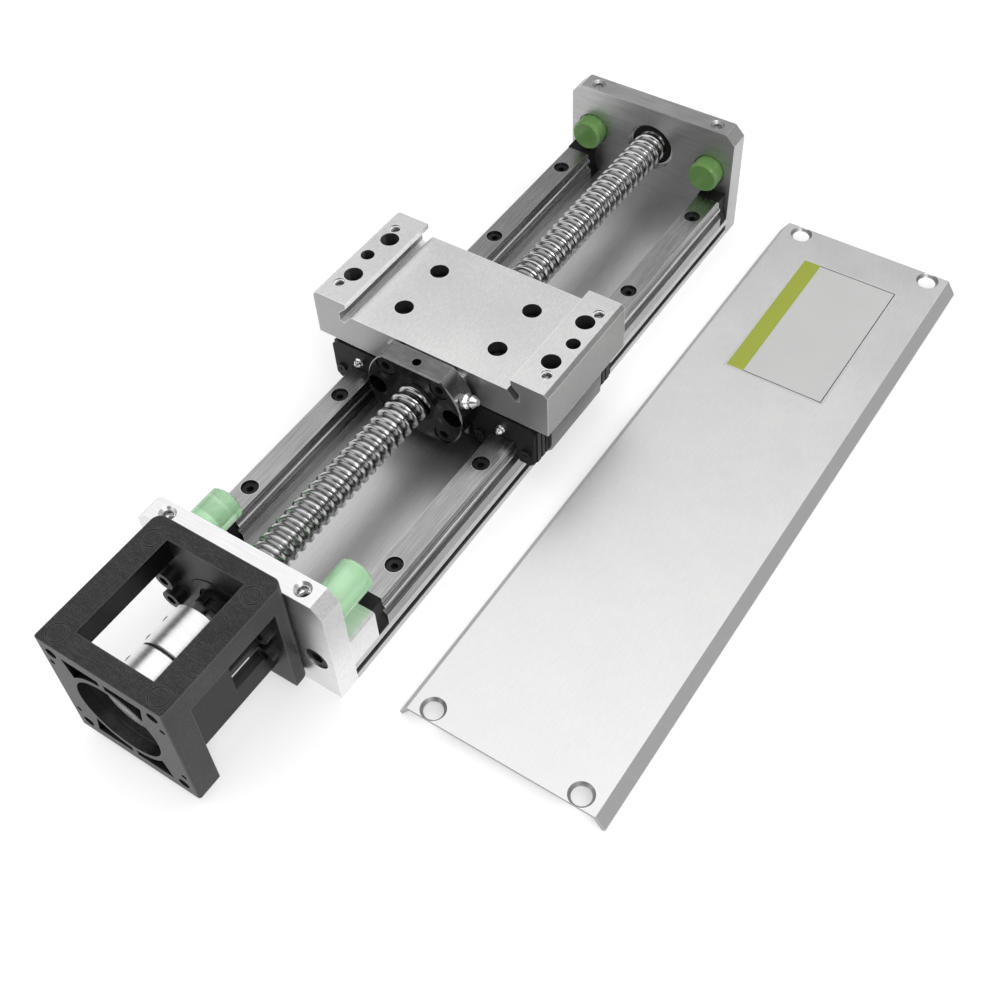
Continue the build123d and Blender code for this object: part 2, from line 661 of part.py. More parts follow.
# Ball screw: the threaded length, a shoulder at each end and two turned journals
CIRCLIP_WIDTH = 1.0
CIRCLIP_GROOVE = 4.7
THREAD_START = NEAR_FACE + 1.0
THREAD_END = FAR_FACE + 1.2
THREAD_CHAMFER = 0.8
JOURNAL_TIP = COUPLING_START - COUPLING_HALF + 1.5
FAR_TIP = FAR_OUTER + 2.6
with BuildPart() as ball_screw:
    bar(THREAD_START, THREAD_END - THREAD_START, SCREW_RADIUS)
    chamfer(ball_screw.edges().filter_by(GeomType.CIRCLE), THREAD_CHAMFER)
    bar(FIXED_INNER_END, THREAD_START - FIXED_INNER_END, SHOULDER_RADIUS)
    bar(JOURNAL_TIP, FIXED_INNER_END - JOURNAL_TIP, JOURNAL_RADIUS)
    bar(THREAD_END, FAR_START - THREAD_END, SHOULDER_RADIUS)
    bar(FAR_START, FAR_TIP - FAR_START, JOURNAL_RADIUS)
    with BuildSketch(across(FAR_OUTER)):
        with Locations((0, AXIS_Z)):
            Circle(JOURNAL_RADIUS)
            Circle(CIRCLIP_GROOVE, mode=Mode.SUBTRACT)
    extrude(amount=CIRCLIP_WIDTH, mode=Mode.SUBTRACT)
ball_screw.part.label = "ball_screw"
export_step(ball_screw.part, "parts/ball_screw.step")

# Round nut that clamps the inner rings on the motor side
LOCK_NUT_LENGTH = 7.0
LOCK_NUT_RADIUS = 9.2
with BuildPart() as lock_nut:
    bar(FIXED_START - LOCK_NUT_LENGTH, LOCK_NUT_LENGTH, LOCK_NUT_RADIUS)
    chamfer(lock_nut.edges().filter_by(GeomType.CIRCLE), 0.6)
    bar(FIXED_START - LOCK_NUT_LENGTH, LOCK_NUT_LENGTH, JOURNAL_RADIUS, mode=Mode.SUBTRACT)
    with BuildSketch(along(FIXED_START - LOCK_NUT_LENGTH, 0, AXIS_Z)):
        with PolarLocations(LOCK_NUT_RADIUS, 4):
            Rectangle(3.0, 3.0)
    extrude(amount=4.0, mode=Mode.SUBTRACT)
lock_nut.part.label = "lock_nut"
export_step(lock_nut.part, "parts/lock_nut.step")

with BuildPart() as screw_circlip:
    with BuildSketch(along(FAR_OUTER, 0, AXIS_Z)):
        Circle(JOURNAL_RADIUS + 1.6)
        Circle(CIRCLIP_GROOVE, mode=Mode.SUBTRACT)
        with Locations((0, -JOURNAL_RADIUS - 1.0)):
            Rectangle(3.6, 4.0, mode=Mode.SUBTRACT)
    extrude(amount=CIRCLIP_WIDTH)
screw_circlip.part.label = "screw_circlip"
export_step(screw_circlip.part, "parts/screw_circlip.step")

# Coupling: two aluminium hubs with a thin black disc between them and radial set screws
SET_SCREW_RADIUS = 2.5
SET_SCREW_TIP = 13.7
SET_SCREW_PLACES = (4.6, 13.8)
HUB_MIDDLE = COUPLING_START - COUPLING_HALF
MOTOR_HUB_START = HUB_MIDDLE - COUPLING_DISC - COUPLING_HALF


def set_screw_planes(start):
    """Outer ends of the set screws of the hub that starts here, pointing to the left."""
    return [
        Plane(origin=(start + place, SET_SCREW_TIP, AXIS_Z), x_dir=(1, 0, 0), z_dir=(0, 1, 0))
        for place in SET_SCREW_PLACES
    ]


def hub(start, bore):
    """One hub with its bore and the threads of its set screws."""
    with BuildPart() as part:
        bar(start, COUPLING_HALF, COUPLING_RADIUS)
        chamfer(part.edges().filter_by(GeomType.CIRCLE), 0.4)
        bar(start, COUPLING_HALF, bore, mode=Mode.SUBTRACT)
        for plane in set_screw_planes(start):
            with Locations(plane):
                Cylinder(SET_SCREW_RADIUS + SCREW_GAP, SET_SCREW_TIP, align=TOP_ALIGN, mode=Mode.SUBTRACT)
    return part


coupling_screw_hub = hub(HUB_MIDDLE, JOURNAL_RADIUS)
coupling_screw_hub.part.label = "coupling_screw_hub"
export_step(coupling_screw_hub.part, "parts/coupling_screw_hub.step")
coupling_motor_hub = hub(MOTOR_HUB_START, MOTOR_SHAFT / 2)
coupling_motor_hub.part.label = "coupling_motor_hub"
export_step(coupling_motor_hub.part, "parts/coupling_motor_hub.step")

with BuildPart() as coupling_disc:
    bar(HUB_MIDDLE - COUPLING_DISC, COUPLING_DISC, COUPLING_RADIUS - 0.5)
    bar(HUB_MIDDLE - COUPLING_DISC, COUPLING_DISC, MOTOR_SHAFT / 2, mode=Mode.SUBTRACT)
coupling_disc.part.label = "coupling_disc"
export_step(coupling_disc.part, "parts/coupling_disc.step")

with BuildPart() as coupling_screws:
    for start, bore in ((HUB_MIDDLE, JOURNAL_RADIUS), (MOTOR_HUB_START, MOTOR_SHAFT / 2)):
        for plane in set_screw_planes(start):
            with Locations(plane):
                Cylinder(SET_SCREW_RADIUS, SET_SCREW_TIP - bore - SCREW_GAP, align=TOP_ALIGN)
            with BuildSketch(plane):
                RegularPolygon(1.5, 6)
            extrude(amount=-2.5, mode=Mode.SUBTRACT)
coupling_screws.part.label = "coupling_screws"
export_step(coupling_screws.part, "parts/coupling_screws.step")

# Carriage: a T-shaped plate with two raised lands, a slanted slot beside each land for
# the cover's edges, and a stem that carries the ball nut
SLOT_FIELD_EDGE = 39.4
SLOT_FLOOR_INNER = (43.4, 50.0)
SLOT_FLOOR_OUTER = (45.3, 50.8)
SLOT_OUTER_TOP = (45.4, 54.9)
SLOT_LAND_FOOT = (LAND_INNER, 58.8)
BLOCK_SCREW_SEAT = 45.0
BLOCK_SCREW_LENGTH = 12.0
BLOCK_SCREW_HEAD_BORE = 8.4
LAND_HOLE = 5.0
LAND_HOLE_X = 40.0
LAND_HOLE_Y = 104.0
LAND_HOLE_DEPTH = 12.0
DOWEL_HOLE = 6.2
NUT_SCREW_LENGTH = 16.0
NUT_SCREW_SINK = 5.5
NUT_SCREWS = 4
NUT_FRONT = STEM_FRONT - NUT_FLANGE_THICKNESS
NUT_SCREW_SEATS = [
    against(
        NUT_FRONT + NUT_SCREW_SINK,
        NUT_BOLT_CIRCLE / 2 * math.cos(math.radians(angle)),
        AXIS_Z + NUT_BOLT_CIRCLE / 2 * math.sin(math.radians(angle)),
    )
    for angle in (45, 135, 225, 315, 0, 180)
]


def block_screw_seats(side):
    """Seats of the four screws that hold one guide block to the carriage."""
    half = BLOCK_PATTERN / 2
    return [
        Plane(origin=(CARRIAGE_X + i * half, side * RAIL_Y + j * half, BLOCK_SCREW_SEAT)) for i in SIDES for j in SIDES
    ]


with BuildPart() as carriage_plate:
    with BuildSketch(across(CARRIAGE_FRONT)):
        with BuildLine():
            half_width = CARRIAGE_WIDTH / 2
            Polyline(
                (0, FIELD_TOP),
                (SLOT_FIELD_EDGE, FIELD_TOP),
                SLOT_FLOOR_INNER,
                SLOT_FLOOR_OUTER,
                SLOT_OUTER_TOP,
                SLOT_LAND_FOOT,
                (LAND_INNER, LAND_TOP),
                (half_width - LAND_CHAMFER, LAND_TOP),
                (half_width, LAND_TOP - LAND_CHAMFER),
                (half_width, CARRIAGE_BOTTOM),
                (0, CARRIAGE_BOTTOM),
            )
            mirror(about=Plane.YZ)
        make_face()
    extrude(amount=CARRIAGE_LENGTH)
    with Locations((STEM_FRONT, 0, STEM_BOTTOM)):
        Box(
            CARRIAGE_LENGTH + STEM_FORWARD,
            STEM_WIDTH,
            STEM_TOP - STEM_BOTTOM,
            align=(Align.MIN, Align.CENTER, Align.MIN),
        )
    bar(STEM_FRONT, CARRIAGE_LENGTH + STEM_FORWARD, NUT_BODY / 2 + SCREW_GAP, mode=Mode.SUBTRACT)
    for seat in NUT_SCREW_SEATS[:NUT_SCREWS]:
        tapped(seat, 5, NUT_SCREW_LENGTH + 0.5)
    for side in SIDES:
        for seat in block_screw_seats(side):
            with Locations(seat):
                Cylinder(BLOCK_SCREW_HEAD_BORE / 2, LAND_TOP, align=BOTTOM_ALIGN, mode=Mode.SUBTRACT)
                Cylinder(2.25, LAND_TOP, align=TOP_ALIGN, mode=Mode.SUBTRACT)
    with Locations((CARRIAGE_X, 0, LAND_TOP)):
        with GridLocations(LAND_HOLE_X, LAND_HOLE_Y, 2, 2):
            Hole(LAND_HOLE / 2, LAND_HOLE_DEPTH)
        with GridLocations(0, LAND_HOLE_Y, 1, 2):
            Hole(DOWEL_HOLE / 2, LAND_HOLE_DEPTH)
carriage_plate.part.label = "carriage_plate"
export_step(carriage_plate.part, "parts/carriage_plate.step")


def make_block_screws(side):
    """The four screws between the carriage and one guide block."""
    with BuildPart() as screws:
        for seat in block_screw_seats(side):
            cap_screw(seat, 4, BLOCK_SCREW_LENGTH)
    return screws


left_block_screws = make_block_screws(1)
left_block_screws.part.label = "left_block_screws"
export_step(left_block_screws.part, "parts/left_block_screws.step")
right_block_screws = make_block_screws(-1)
right_block_screws.part.label = "right_block_screws"
export_step(right_block_screws.part, "parts/right_block_screws.step")


def rail_channel(start, side, length, gap):
    """Cuts the way for the rail, wider than its section by the gap all round."""
    with BuildSketch(along(start, side * RAIL_Y, BASE_HEIGHT)) as way:
        add(rail_outline())
        offset(amount=gap, kind=Kind.INTERSECTION)
    extrude(way.sketch, amount=length, mode=Mode.SUBTRACT)


def make_block(side):
    """The steel body of one guide block."""
    start = CARRIAGE_X - BLOCK_LENGTH / 2
    with BuildPart() as block:
        with Locations((start, side * RAIL_Y, BLOCK_BOTTOM)):
            Box(
                BLOCK_LENGTH,
                BLOCK_WIDTH,
                CARRIAGE_BOTTOM - BLOCK_BOTTOM,
                align=(Align.MIN, Align.CENTER, Align.MIN),
            )
        long_edges = block.edges().filter_by(Axis.X).group_by(Axis.Z)
        chamfer(long_edges[0], 2.2)
        chamfer(long_edges[-1], 0.8)
        rail_channel(start, side, BLOCK_LENGTH, RUNNING_GAP)
        for seat in block_screw_seats(side):
            tapped(seat, 4, BLOCK_SCREW_LENGTH + 0.5)
    return block


left_block = make_block(1)
left_block.part.label = "left_block"
export_step(left_block.part, "parts/left_block.step")
right_block = make_block(-1)
right_block.part.label = "right_block"
export_step(right_block.part, "parts/right_block.step")

CAP_START = BLOCK_LENGTH / 2
SEAL_START = CAP_START + BLOCK_CAP
END_SCREW_Y = 11.6
END_SCREW_Z = 21.4
NIPPLE_Z = 31.5
END_SCREW_RADIUS = 1.25
BLOCK_NIPPLE_STEM_RADIUS = 1.5
CAP_RIB_PITCH = 3.0
CAP_RIB_GAP = 0.9
CAP_RIB_DEPTH = 0.6


def end_piece(side, start, length, width, bottom, top, corner):
    """A plate across one end of a guide block, with cut upper corners and the rail's way through it."""
    with BuildPart() as piece:
        with Locations((start, side * RAIL_Y, bottom)):
            Box(length, width, top - bottom, align=(Align.MIN, Align.CENTER, Align.MIN))
        edges = piece.edges().filter_by(Axis.X).group_by(Axis.Z)
        chamfer(edges[-1], corner)
        chamfer(edges[0], 2.0)
        rail_channel(start, side, length, RUNNING_GAP)
        for j in SIDES:
            bar(start, length, END_SCREW_RADIUS + SCREW_GAP, side * RAIL_Y + j * END_SCREW_Y, END_SCREW_Z, Mode.SUBTRACT)
        if start < CARRIAGE_X:
            bar(start, length, BLOCK_NIPPLE_STEM_RADIUS + SCREW_GAP, side * RAIL_Y, NIPPLE_Z, Mode.SUBTRACT)
    return piece


def both_ends(side, offset_start, length, width, bottom, top, corner, ribs):
    """The same end piece at the motor end and at the far end of one block."""
    near_start = CARRIAGE_X - offset_start - length
    far_start = CARRIAGE_X + offset_start
    near = end_piece(side, near_start, length, width, bottom, top, corner)
    far = end_piece(side, far_start, length, width, bottom, top, corner)
    with BuildPart() as pair:
        add(near.part)
        add(far.part)
        for start in (near_start, far_start):
            for rib in range(1, ribs):
                for flank in SIDES:
                    with Locations((start + rib * CAP_RIB_PITCH, side * RAIL_Y + flank * width / 2, bottom)):
                        Box(
                            CAP_RIB_GAP,
                            2 * CAP_RIB_DEPTH,
                            top - bottom,
                            align=BOTTOM_ALIGN,
                            mode=Mode.SUBTRACT,
                        )
    return pair


CAP_RIBS = 3
left_block_caps = both_ends(1, CAP_START, BLOCK_CAP, CAP_WIDTH, CAP_BOTTOM, CAP_TOP, 3.0, CAP_RIBS)
left_block_caps.part.label = "left_block_caps"
export_step(left_block_caps.part, "parts/left_block_caps.step")
right_block_caps = both_ends(-1, CAP_START, BLOCK_CAP, CAP_WIDTH, CAP_BOTTOM, CAP_TOP, 3.0, CAP_RIBS)
right_block_caps.part.label = "right_block_caps"
export_step(right_block_caps.part, "parts/right_block_caps.step")
SEAL_WIDTH = CAP_WIDTH - 1.0
left_block_seals = both_ends(1, SEAL_START, BLOCK_SEAL, SEAL_WIDTH, CAP_BOTTOM, CAP_TOP - 0.5, 3.0, 0)
left_block_seals.part.label = "left_block_seals"
export_step(left_block_seals.part, "parts/left_block_seals.step")
right_block_seals = both_ends(-1, SEAL_START, BLOCK_SEAL, SEAL_WIDTH, CAP_BOTTOM, CAP_TOP - 0.5, 3.0, 0)
right_block_seals.part.label = "right_block_seals"
export_step(right_block_seals.part, "parts/right_block_seals.step")

# Small pan head screws that hold the seals and caps to the blocks
PAN_RADIUS = 2.2
PAN_HEIGHT = 1.3
END_FACE = SEAL_START + BLOCK_SEAL
with BuildPart() as block_end_screws:
    for side in SIDES:
        for j in SIDES:
            y = side * RAIL_Y + j * END_SCREW_Y
            for seat in (against(CARRIAGE_X - END_FACE, y, END_SCREW_Z), along(CARRIAGE_X + END_FACE, y, END_SCREW_Z)):
                with Locations(seat):
                    Cylinder(PAN_RADIUS, PAN_HEIGHT, align=BOTTOM_ALIGN)
                    Cylinder(END_SCREW_RADIUS, BLOCK_CAP + BLOCK_SEAL, align=TOP_ALIGN)
                with BuildSketch(seat.offset(PAN_HEIGHT)):
                    Rectangle(2.6, 0.6)
                    Rectangle(0.6, 2.6)
                extrude(amount=-0.7, mode=Mode.SUBTRACT)
block_end_screws.part.label = "block_end_screws"
export_step(block_end_screws.part, "parts/block_end_screws.step")


def nipple_outline(collar, waist, height):
    """Half section of a grease nipple: collar, neck and conical head."""
    with BuildSketch() as section:
        with BuildLine():
            Polyline(
                (0, 0),
                (collar, 0),
                (collar, 0.34 * height),
                (waist, 0.46 * height),
                (waist, 0.6 * height),
                (1.3 * waist, 0.72 * height),
                (0.6 * waist, height),
                (0, height),
                close=True,
            )
        make_face()
    return section.sketch


def add_nipple(foot, direction, stem_radius, stem, collar, waist, height):
    """A nipple that stands on its foot, with its threaded stem below."""
    seat = Plane(origin=foot, z_dir=direction)
    with BuildSketch(Plane(origin=foot, x_dir=seat.x_dir, z_dir=-seat.y_dir)) as section:
        add(nipple_outline(collar, waist, height))
    revolve(section.sketch, axis=Axis(foot, direction))
    with Locations(seat):
        Cylinder(stem_radius, stem, align=TOP_ALIGN)


# Grease nipples of the guide blocks, on the motor side
with BuildPart() as block_nipples:
    for side in SIDES:
        add_nipple((CARRIAGE_X - END_FACE, side * RAIL_Y, NIPPLE_Z), (-1, 0, 0), BLOCK_NIPPLE_STEM_RADIUS, 6.0, 2.0, 1.3, 4.0)
block_nipples.part.label = "block_nipples"
export_step(block_nipples.part, "parts/block_nipples.step")

# Ball nut: a flanged sleeve, flat on top and below, with wiper rings in both ends
OIL_HOLE = 2.0
NUT_NIPPLE_ANGLE = 159.0
NUT_NIPPLE_HEIGHT = 8.0
NUT_NIPPLE_STEM = 4.0
NUT_NIPPLE_STEM_RADIUS = 2.5
NUT_END = STEM_FRONT + NUT_BODY_LENGTH
nipple_direction = Vector(0, math.cos(math.radians(NUT_NIPPLE_ANGLE)), math.sin(math.radians(NUT_NIPPLE_ANGLE)))
nipple_foot = Vector(NUT_FRONT + 4.8, 0, AXIS_Z) + nipple_direction * (NUT_FLANGE / 2 - 0.4)
with BuildPart() as ball_nut:
    with BuildSketch(along(NUT_FRONT, 0, AXIS_Z)):
        Circle(NUT_FLANGE / 2)
        Rectangle(NUT_FLANGE, 2 * NUT_FLANGE_FLAT, mode=Mode.INTERSECT)
    extrude(amount=NUT_FLANGE_THICKNESS)
    chamfer(ball_nut.edges().group_by(Axis.X)[0], 0.5)
    bar(STEM_FRONT, NUT_BODY_LENGTH, NUT_BODY / 2)
    chamfer(ball_nut.edges().filter_by(GeomType.CIRCLE).group_by(Axis.X)[-1], 0.8)
    bar(NUT_FRONT, NUT_END - NUT_FRONT, NUT_BORE, mode=Mode.SUBTRACT)
    bar(NUT_FRONT, WIPER_LENGTH, WIPER_OUTER, mode=Mode.SUBTRACT)
    bar(NUT_END - WIPER_LENGTH, WIPER_LENGTH, WIPER_OUTER, mode=Mode.SUBTRACT)
    for seat in NUT_SCREW_SEATS:
        counterbored(seat, 5, 2 * NUT_SCREW_SINK, NUT_FLANGE_THICKNESS)
    with Locations((NUT_FRONT + 4.6, 0, AXIS_Z + NUT_FLANGE_FLAT)):
        Hole(OIL_HOLE, 6.0)
    with Locations(Plane(origin=nipple_foot, z_dir=nipple_direction)):
        Cylinder(3.7, 6.0, align=BOTTOM_ALIGN, mode=Mode.SUBTRACT)
        Cylinder(NUT_NIPPLE_STEM_RADIUS + SCREW_GAP, NUT_NIPPLE_STEM + 0.3, align=TOP_ALIGN, mode=Mode.SUBTRACT)
ball_nut.part.label = "ball_nut"
export_step(ball_nut.part, "parts/ball_nut.step")

with BuildPart() as nut_nipple:
    add_nipple(nipple_foot, nipple_direction, NUT_NIPPLE_STEM_RADIUS, NUT_NIPPLE_STEM, 3.3, 2.1, NUT_NIPPLE_HEIGHT)
nut_nipple.part.label = "nut_nipple"
export_step(nut_nipple.part, "parts/nut_nipple.step")

with BuildPart() as nut_wipers:
    for start in (NUT_FRONT, NUT_END - WIPER_LENGTH):
        bar(start, WIPER_LENGTH, WIPER_OUTER)
        bar(start, WIPER_LENGTH, NUT_BORE, mode=Mode.SUBTRACT)
nut_wipers.part.label = "nut_wipers"
export_step(nut_wipers.part, "parts/nut_wipers.step")

with BuildPart() as nut_flange_screws:
    for seat in NUT_SCREW_SEATS[:NUT_SCREWS]:
        cap_screw(seat, 5, NUT_SCREW_LENGTH)
nut_flange_screws.part.label = "nut_flange_screws"
export_step(nut_flange_screws.part, "parts/nut_flange_screws.step")

# Cover: a sheet with slanted long edges and a countersunk hole at each corner
with BuildPart() as cover_plate:
    slope = math.atan2(COVER_DROP, COVER_RUN)
    top_level = COVER_DROP + COVER_SHEET * math.cos(slope)
    half_flat = COVER_FLAT / 2
    inner_half = half_flat - COVER_SHEET * math.tan(slope / 2)
    tip = (half_flat + COVER_RUN, top_level - COVER_DROP)
    inner_tip = (tip[0] - COVER_SHEET * math.sin(slope), tip[1] - COVER_SHEET * math.cos(slope))
    start = COVER_X - COVER_LENGTH / 2
    with BuildSketch(along(start, COVER_Y, 0)):
        with BuildLine():
            Polyline(
                (0, top_level),
                (half_flat, top_level),
                tip,
                inner_tip,
                (inner_half, top_level - COVER_SHEET),
                (0, top_level - COVER_SHEET),
            )
            mirror(about=Plane.YZ)
        make_face()
    extrude(amount=COVER_LENGTH)
    with Locations((COVER_X, COVER_Y, top_level)):
        with GridLocations(INNER_LENGTH + PLATE_THICKNESS, COVER_HOLES_Y, 2, 2):
            CounterSinkHole(COVER_HOLE / 2, COVER_SINK / 2, 3 * COVER_SHEET)
cover_plate.part.label = "cover_plate"
export_step(cover_plate.part, "parts/cover_plate.step")
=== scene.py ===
# %% [markdown]
# # A sliding table, from its frame to its picture
# A carriage rides on two ground rails and is drawn along by a ball screw. The frame
# holds every solid of it at its real size. This lesson gives the solids their surfaces,
# adds the small shapes that only the eye needs, and lights the set.

# %% Load the frame
import bmesh
import bpy
import json
import math
from mathutils import Matrix, Vector


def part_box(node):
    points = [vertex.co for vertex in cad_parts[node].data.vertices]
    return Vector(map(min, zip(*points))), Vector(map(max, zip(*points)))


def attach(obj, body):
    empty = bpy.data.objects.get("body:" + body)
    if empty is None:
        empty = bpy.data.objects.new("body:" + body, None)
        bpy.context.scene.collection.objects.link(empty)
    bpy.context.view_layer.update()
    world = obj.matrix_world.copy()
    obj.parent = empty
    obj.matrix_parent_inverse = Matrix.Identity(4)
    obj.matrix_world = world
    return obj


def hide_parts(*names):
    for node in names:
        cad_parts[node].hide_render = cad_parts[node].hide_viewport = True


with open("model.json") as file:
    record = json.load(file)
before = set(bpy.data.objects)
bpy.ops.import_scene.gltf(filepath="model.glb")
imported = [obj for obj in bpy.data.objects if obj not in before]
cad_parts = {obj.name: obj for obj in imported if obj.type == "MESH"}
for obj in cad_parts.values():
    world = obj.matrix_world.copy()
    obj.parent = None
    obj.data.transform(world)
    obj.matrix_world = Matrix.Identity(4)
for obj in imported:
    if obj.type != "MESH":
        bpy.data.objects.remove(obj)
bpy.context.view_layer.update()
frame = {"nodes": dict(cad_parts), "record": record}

nodes = frame["nodes"]

# %% [markdown]
# ## Sums on sockets
# A node tree is a sum written with boxes. It can be drawn by hand, or each box can be
# added by a line of code. Both hide the sum. The class below wraps one output socket,
# so that the same sum is written as `a * b + c`, in a material, in the sky and in a
# tree that makes a mesh.


# %% Sockets that can be added and multiplied
class Value:
    """One output socket of a node tree, with arithmetic."""

    def __init__(self, tree, socket):
        self.tree = tree
        self.socket = socket

    def plug(self, target, item):
        """Links a value to a socket, or sets the socket's own number or colour."""
        if isinstance(item, Value):
            self.tree.links.new(item.socket, target)
        elif hasattr(target, "default_value"):
            target.default_value = item

    def node(self, kind, out=0, settings=None, **inputs):
        """Adds a node, fills its inputs by name or by number and returns one output."""
        made = self.tree.nodes.new(kind)
        for key, item in (settings or {}).items():
            setattr(made, key, item)
        for key, item in inputs.items():
            numbered = key[0] == "i" and key[1:].isdigit()
            self.plug(made.inputs[int(key[1:]) if numbered else key.replace("_", " ")], item)
        return Value(self.tree, made.outputs[out])

    def sum_with(self, operation, a, b=0.0, c=0.0):
        """One Math node."""
        return self.node("ShaderNodeMath", settings={"operation": operation}, i0=a, i1=b, i2=c)

    def __add__(self, other):
        return self.sum_with("ADD", self, other)

    def __radd__(self, other):
        return self.sum_with("ADD", other, self)

    def __sub__(self, other):
        return self.sum_with("SUBTRACT", self, other)

    def __rsub__(self, other):
        return self.sum_with("SUBTRACT", other, self)

    def __mul__(self, other):
        return self.sum_with("MULTIPLY", self, other)

    def __rmul__(self, other):
        return self.sum_with("MULTIPLY", other, self)

    def __truediv__(self, other):
        return self.sum_with("DIVIDE", self, other)

    def __rtruediv__(self, other):
        return self.sum_with("DIVIDE", other, self)

    def __pow__(self, other):
        return self.sum_with("POWER", self, other)

    def maths(self, operation, other=0.0):
        """Any other operation of the Math node on this value."""
        return self.sum_with(operation, self, other)

    def xyz(self):
        """The three parts of a vector, each as a value."""
        split = self.node("ShaderNodeSeparateXYZ", i0=self).socket.node
        return [Value(self.tree, output) for output in split.outputs]

    def ramp(self, low, high, start=0.0, end=1.0):
        """Maps low..high to start..end, smoothly and held at both ends."""
        return self.node(
            "ShaderNodeMapRange",
            settings={"interpolation_type": "SMOOTHSTEP", "clamp": True},
            Value=self, From_Min=low, From_Max=high, To_Min=start, To_Max=end,
        )

    def blend(self, dark, light):
        """A colour between two colours, by this value."""
        dark, light = ((*c, 1.0) if isinstance(c, tuple) else c for c in (dark, light))
        return self.node(
            "ShaderNodeMix", out=2, settings={"data_type": "RGBA"}, i0=self, i6=dark, i7=light,
        )


def grey(level, blue=1.0):
    """A grey as a colour, with its blue a little up or down."""
    return (level, level, level * blue)


def dimmed(colour, share):
    """A colour times a share."""
    return tuple(channel * share for channel in colour)


# %% [markdown]
# ## A surface under construction
# A finish is more than a colour. Its grain has a direction and a scale, its edges are
# worn and carry a painted highlight, and painted shade darkens its holes, its corners
# and some of its faces by the way they point. All of these can be read from the piece
# itself: the place of a point, its normal, the edges near it, and how much of it lies
# open. They stay on the piece when it moves, and the export can bake them.


# %% What a surface can read from its piece
class Surface:
    """A material under construction, with the piece's own coordinates at hand."""

    def __init__(self, name):
        self.material = bpy.data.materials.new(name)
        self.material.use_nodes = True
        tree = self.material.node_tree
        tree.nodes.clear()
        self.root = Value(tree, None)
        self.place = self.root.node("ShaderNodeTexCoord", out=3)
        self.x, self.y, self.z = self.place.xyz()
        self.shader = self.root.node("ShaderNodeBsdfPrincipled")
        self.bsdf = self.shader.socket.node
        output = tree.nodes.new("ShaderNodeOutputMaterial")
        tree.links.new(self.shader.socket, output.inputs["Surface"])

    def noise(self, scale, detail=2.0, stretch=(1.0, 1.0, 1.0), rough=0.5):
        """Noise in the piece's own coordinates; scale is in features per metre."""
        spread = self.root.node("ShaderNodeMapping", Vector=self.place, Scale=stretch)
        return self.root.node(
            "ShaderNodeTexNoise", Vector=spread, Scale=scale, Detail=detail, Roughness=rough,
        )

    def edges(self, radius=0.0006):
        """Near 1 on edges and corners, 0 on flat stretches."""
        soft = self.root.node("ShaderNodeBevel", settings={"samples": 4}, Radius=radius)
        hard = self.root.node("ShaderNodeNewGeometry", out=1)
        return self.along(soft, hard).ramp(0.93, 0.999, 1.0, 0.0)

    def along(self, first, second):
        """How far two directions agree."""
        return self.root.node(
            "ShaderNodeVectorMath", out=1, settings={"operation": "DOT_PRODUCT"}, i0=first, i1=second,
        )

    def open_air(self, reach=0.005, low=0.30, high=0.85):
        """0 deep in a hole or a corner of the piece, 1 in the open."""
        seen = self.root.node(
            "ShaderNodeAmbientOcclusion", out=1, settings={"samples": 6, "only_local": True}, Distance=reach,
        )
        return seen.ramp(low, high)

    def facing(self, axis):
        """1 where the piece's own normal points along an axis."""
        return self.along(self.root.node("ShaderNodeTexCoord", out=1), axis).ramp(0.85, 0.95)

    def bump(self, height, distance):
        """Turns a height value into a normal."""
        return self.root.node("ShaderNodeBump", Height=height, Distance=distance, Strength=1.0)

    def set(self, **inputs):
        """Fills inputs of the surface shader."""
        for key, item in inputs.items():
            target = self.bsdf.inputs[key.replace("_", " ")]
            if isinstance(item, tuple) and target.type == "RGBA":
                item = (*item, 1.0)
            self.root.plug(target, item)
        return self.material


UPWARDS = (0.0, 0.0, 1.0)
TO_MOTOR = (-1.0, 0.0, 0.0)
TO_COVER = (0.0, -1.0, 0.0)
print("directions:", UPWARDS, TO_MOTOR, TO_COVER)


# %% [markdown]
# ## Worked metal
# Most of the table is aluminium and steel that a tool has passed over. The grain runs
# the way the tool ran: along the rails and the base, across the end plates. One
# function makes them all, because they differ only in tone, in grain and in how much
# painted shade darkens their sides against their top. Broken edges are worn, and a
# painted highlight turns them near white. On the carriage, walls toward the cover get
# a painted highlight too.


# %% Milled, ground and extruded metal
def worked_metal(
    name, dark, light, rough, stretch, scale, depth,
    edge=0.25, blotch=25.0, cut=1.0, air=(0.005, 0.30, 0.85), land=None,
):
    """A metal with a directed grain, faint blotches, and edges lighter from wear and painted near white as a
    highlight.

    cut is the share of brightness that painted shade leaves on all faces but the top.
    air is the reach and the two limits of the painted shade in holes and corners.
    land is the y past which walls toward the cover get a painted highlight, near white.
    """
    s = Surface(name)
    grain = s.noise(scale, 3.0, stretch, 0.6)
    patches = s.noise(blotch, 3.0)
    wear_and_edge_highlight = s.edges() * edge
    tone = (grain * 0.6 + patches * 0.4 + wear_and_edge_highlight).ramp(0.3, 0.75)
    shown = tone.blend(dark, light)
    # Painted shade: faces that don't look up are dimmed to cut times their tone.
    if cut < 1.0:
        shown = s.facing(UPWARDS).blend(tone.blend(dimmed(dark, cut), dimmed(light, cut)), shown)
    if land is not None:
        # Painted highlight: walls toward the cover, past land, are painted near white.
        painted_highlight_wall = s.facing(TO_COVER) * s.y.ramp(land, land + 0.001)
        shown = painted_highlight_wall.blend(shown, grey(0.97))
    # Edges are painted near white: a painted highlight on top of their wear.
    shown = wear_and_edge_highlight.maths("MINIMUM", 1.0).blend(shown, grey(1.0))
    # Painted shade: holes and corners go nearly black.
    return s.set(
        Base_Color=s.open_air(*air).blend(dimmed(dark, 0.02), shown),
        Metallic=1.0,
        Roughness=grain * 0.14 + patches * 0.1 + (rough - 0.12),
        Normal=s.bump(grain, depth),
    )


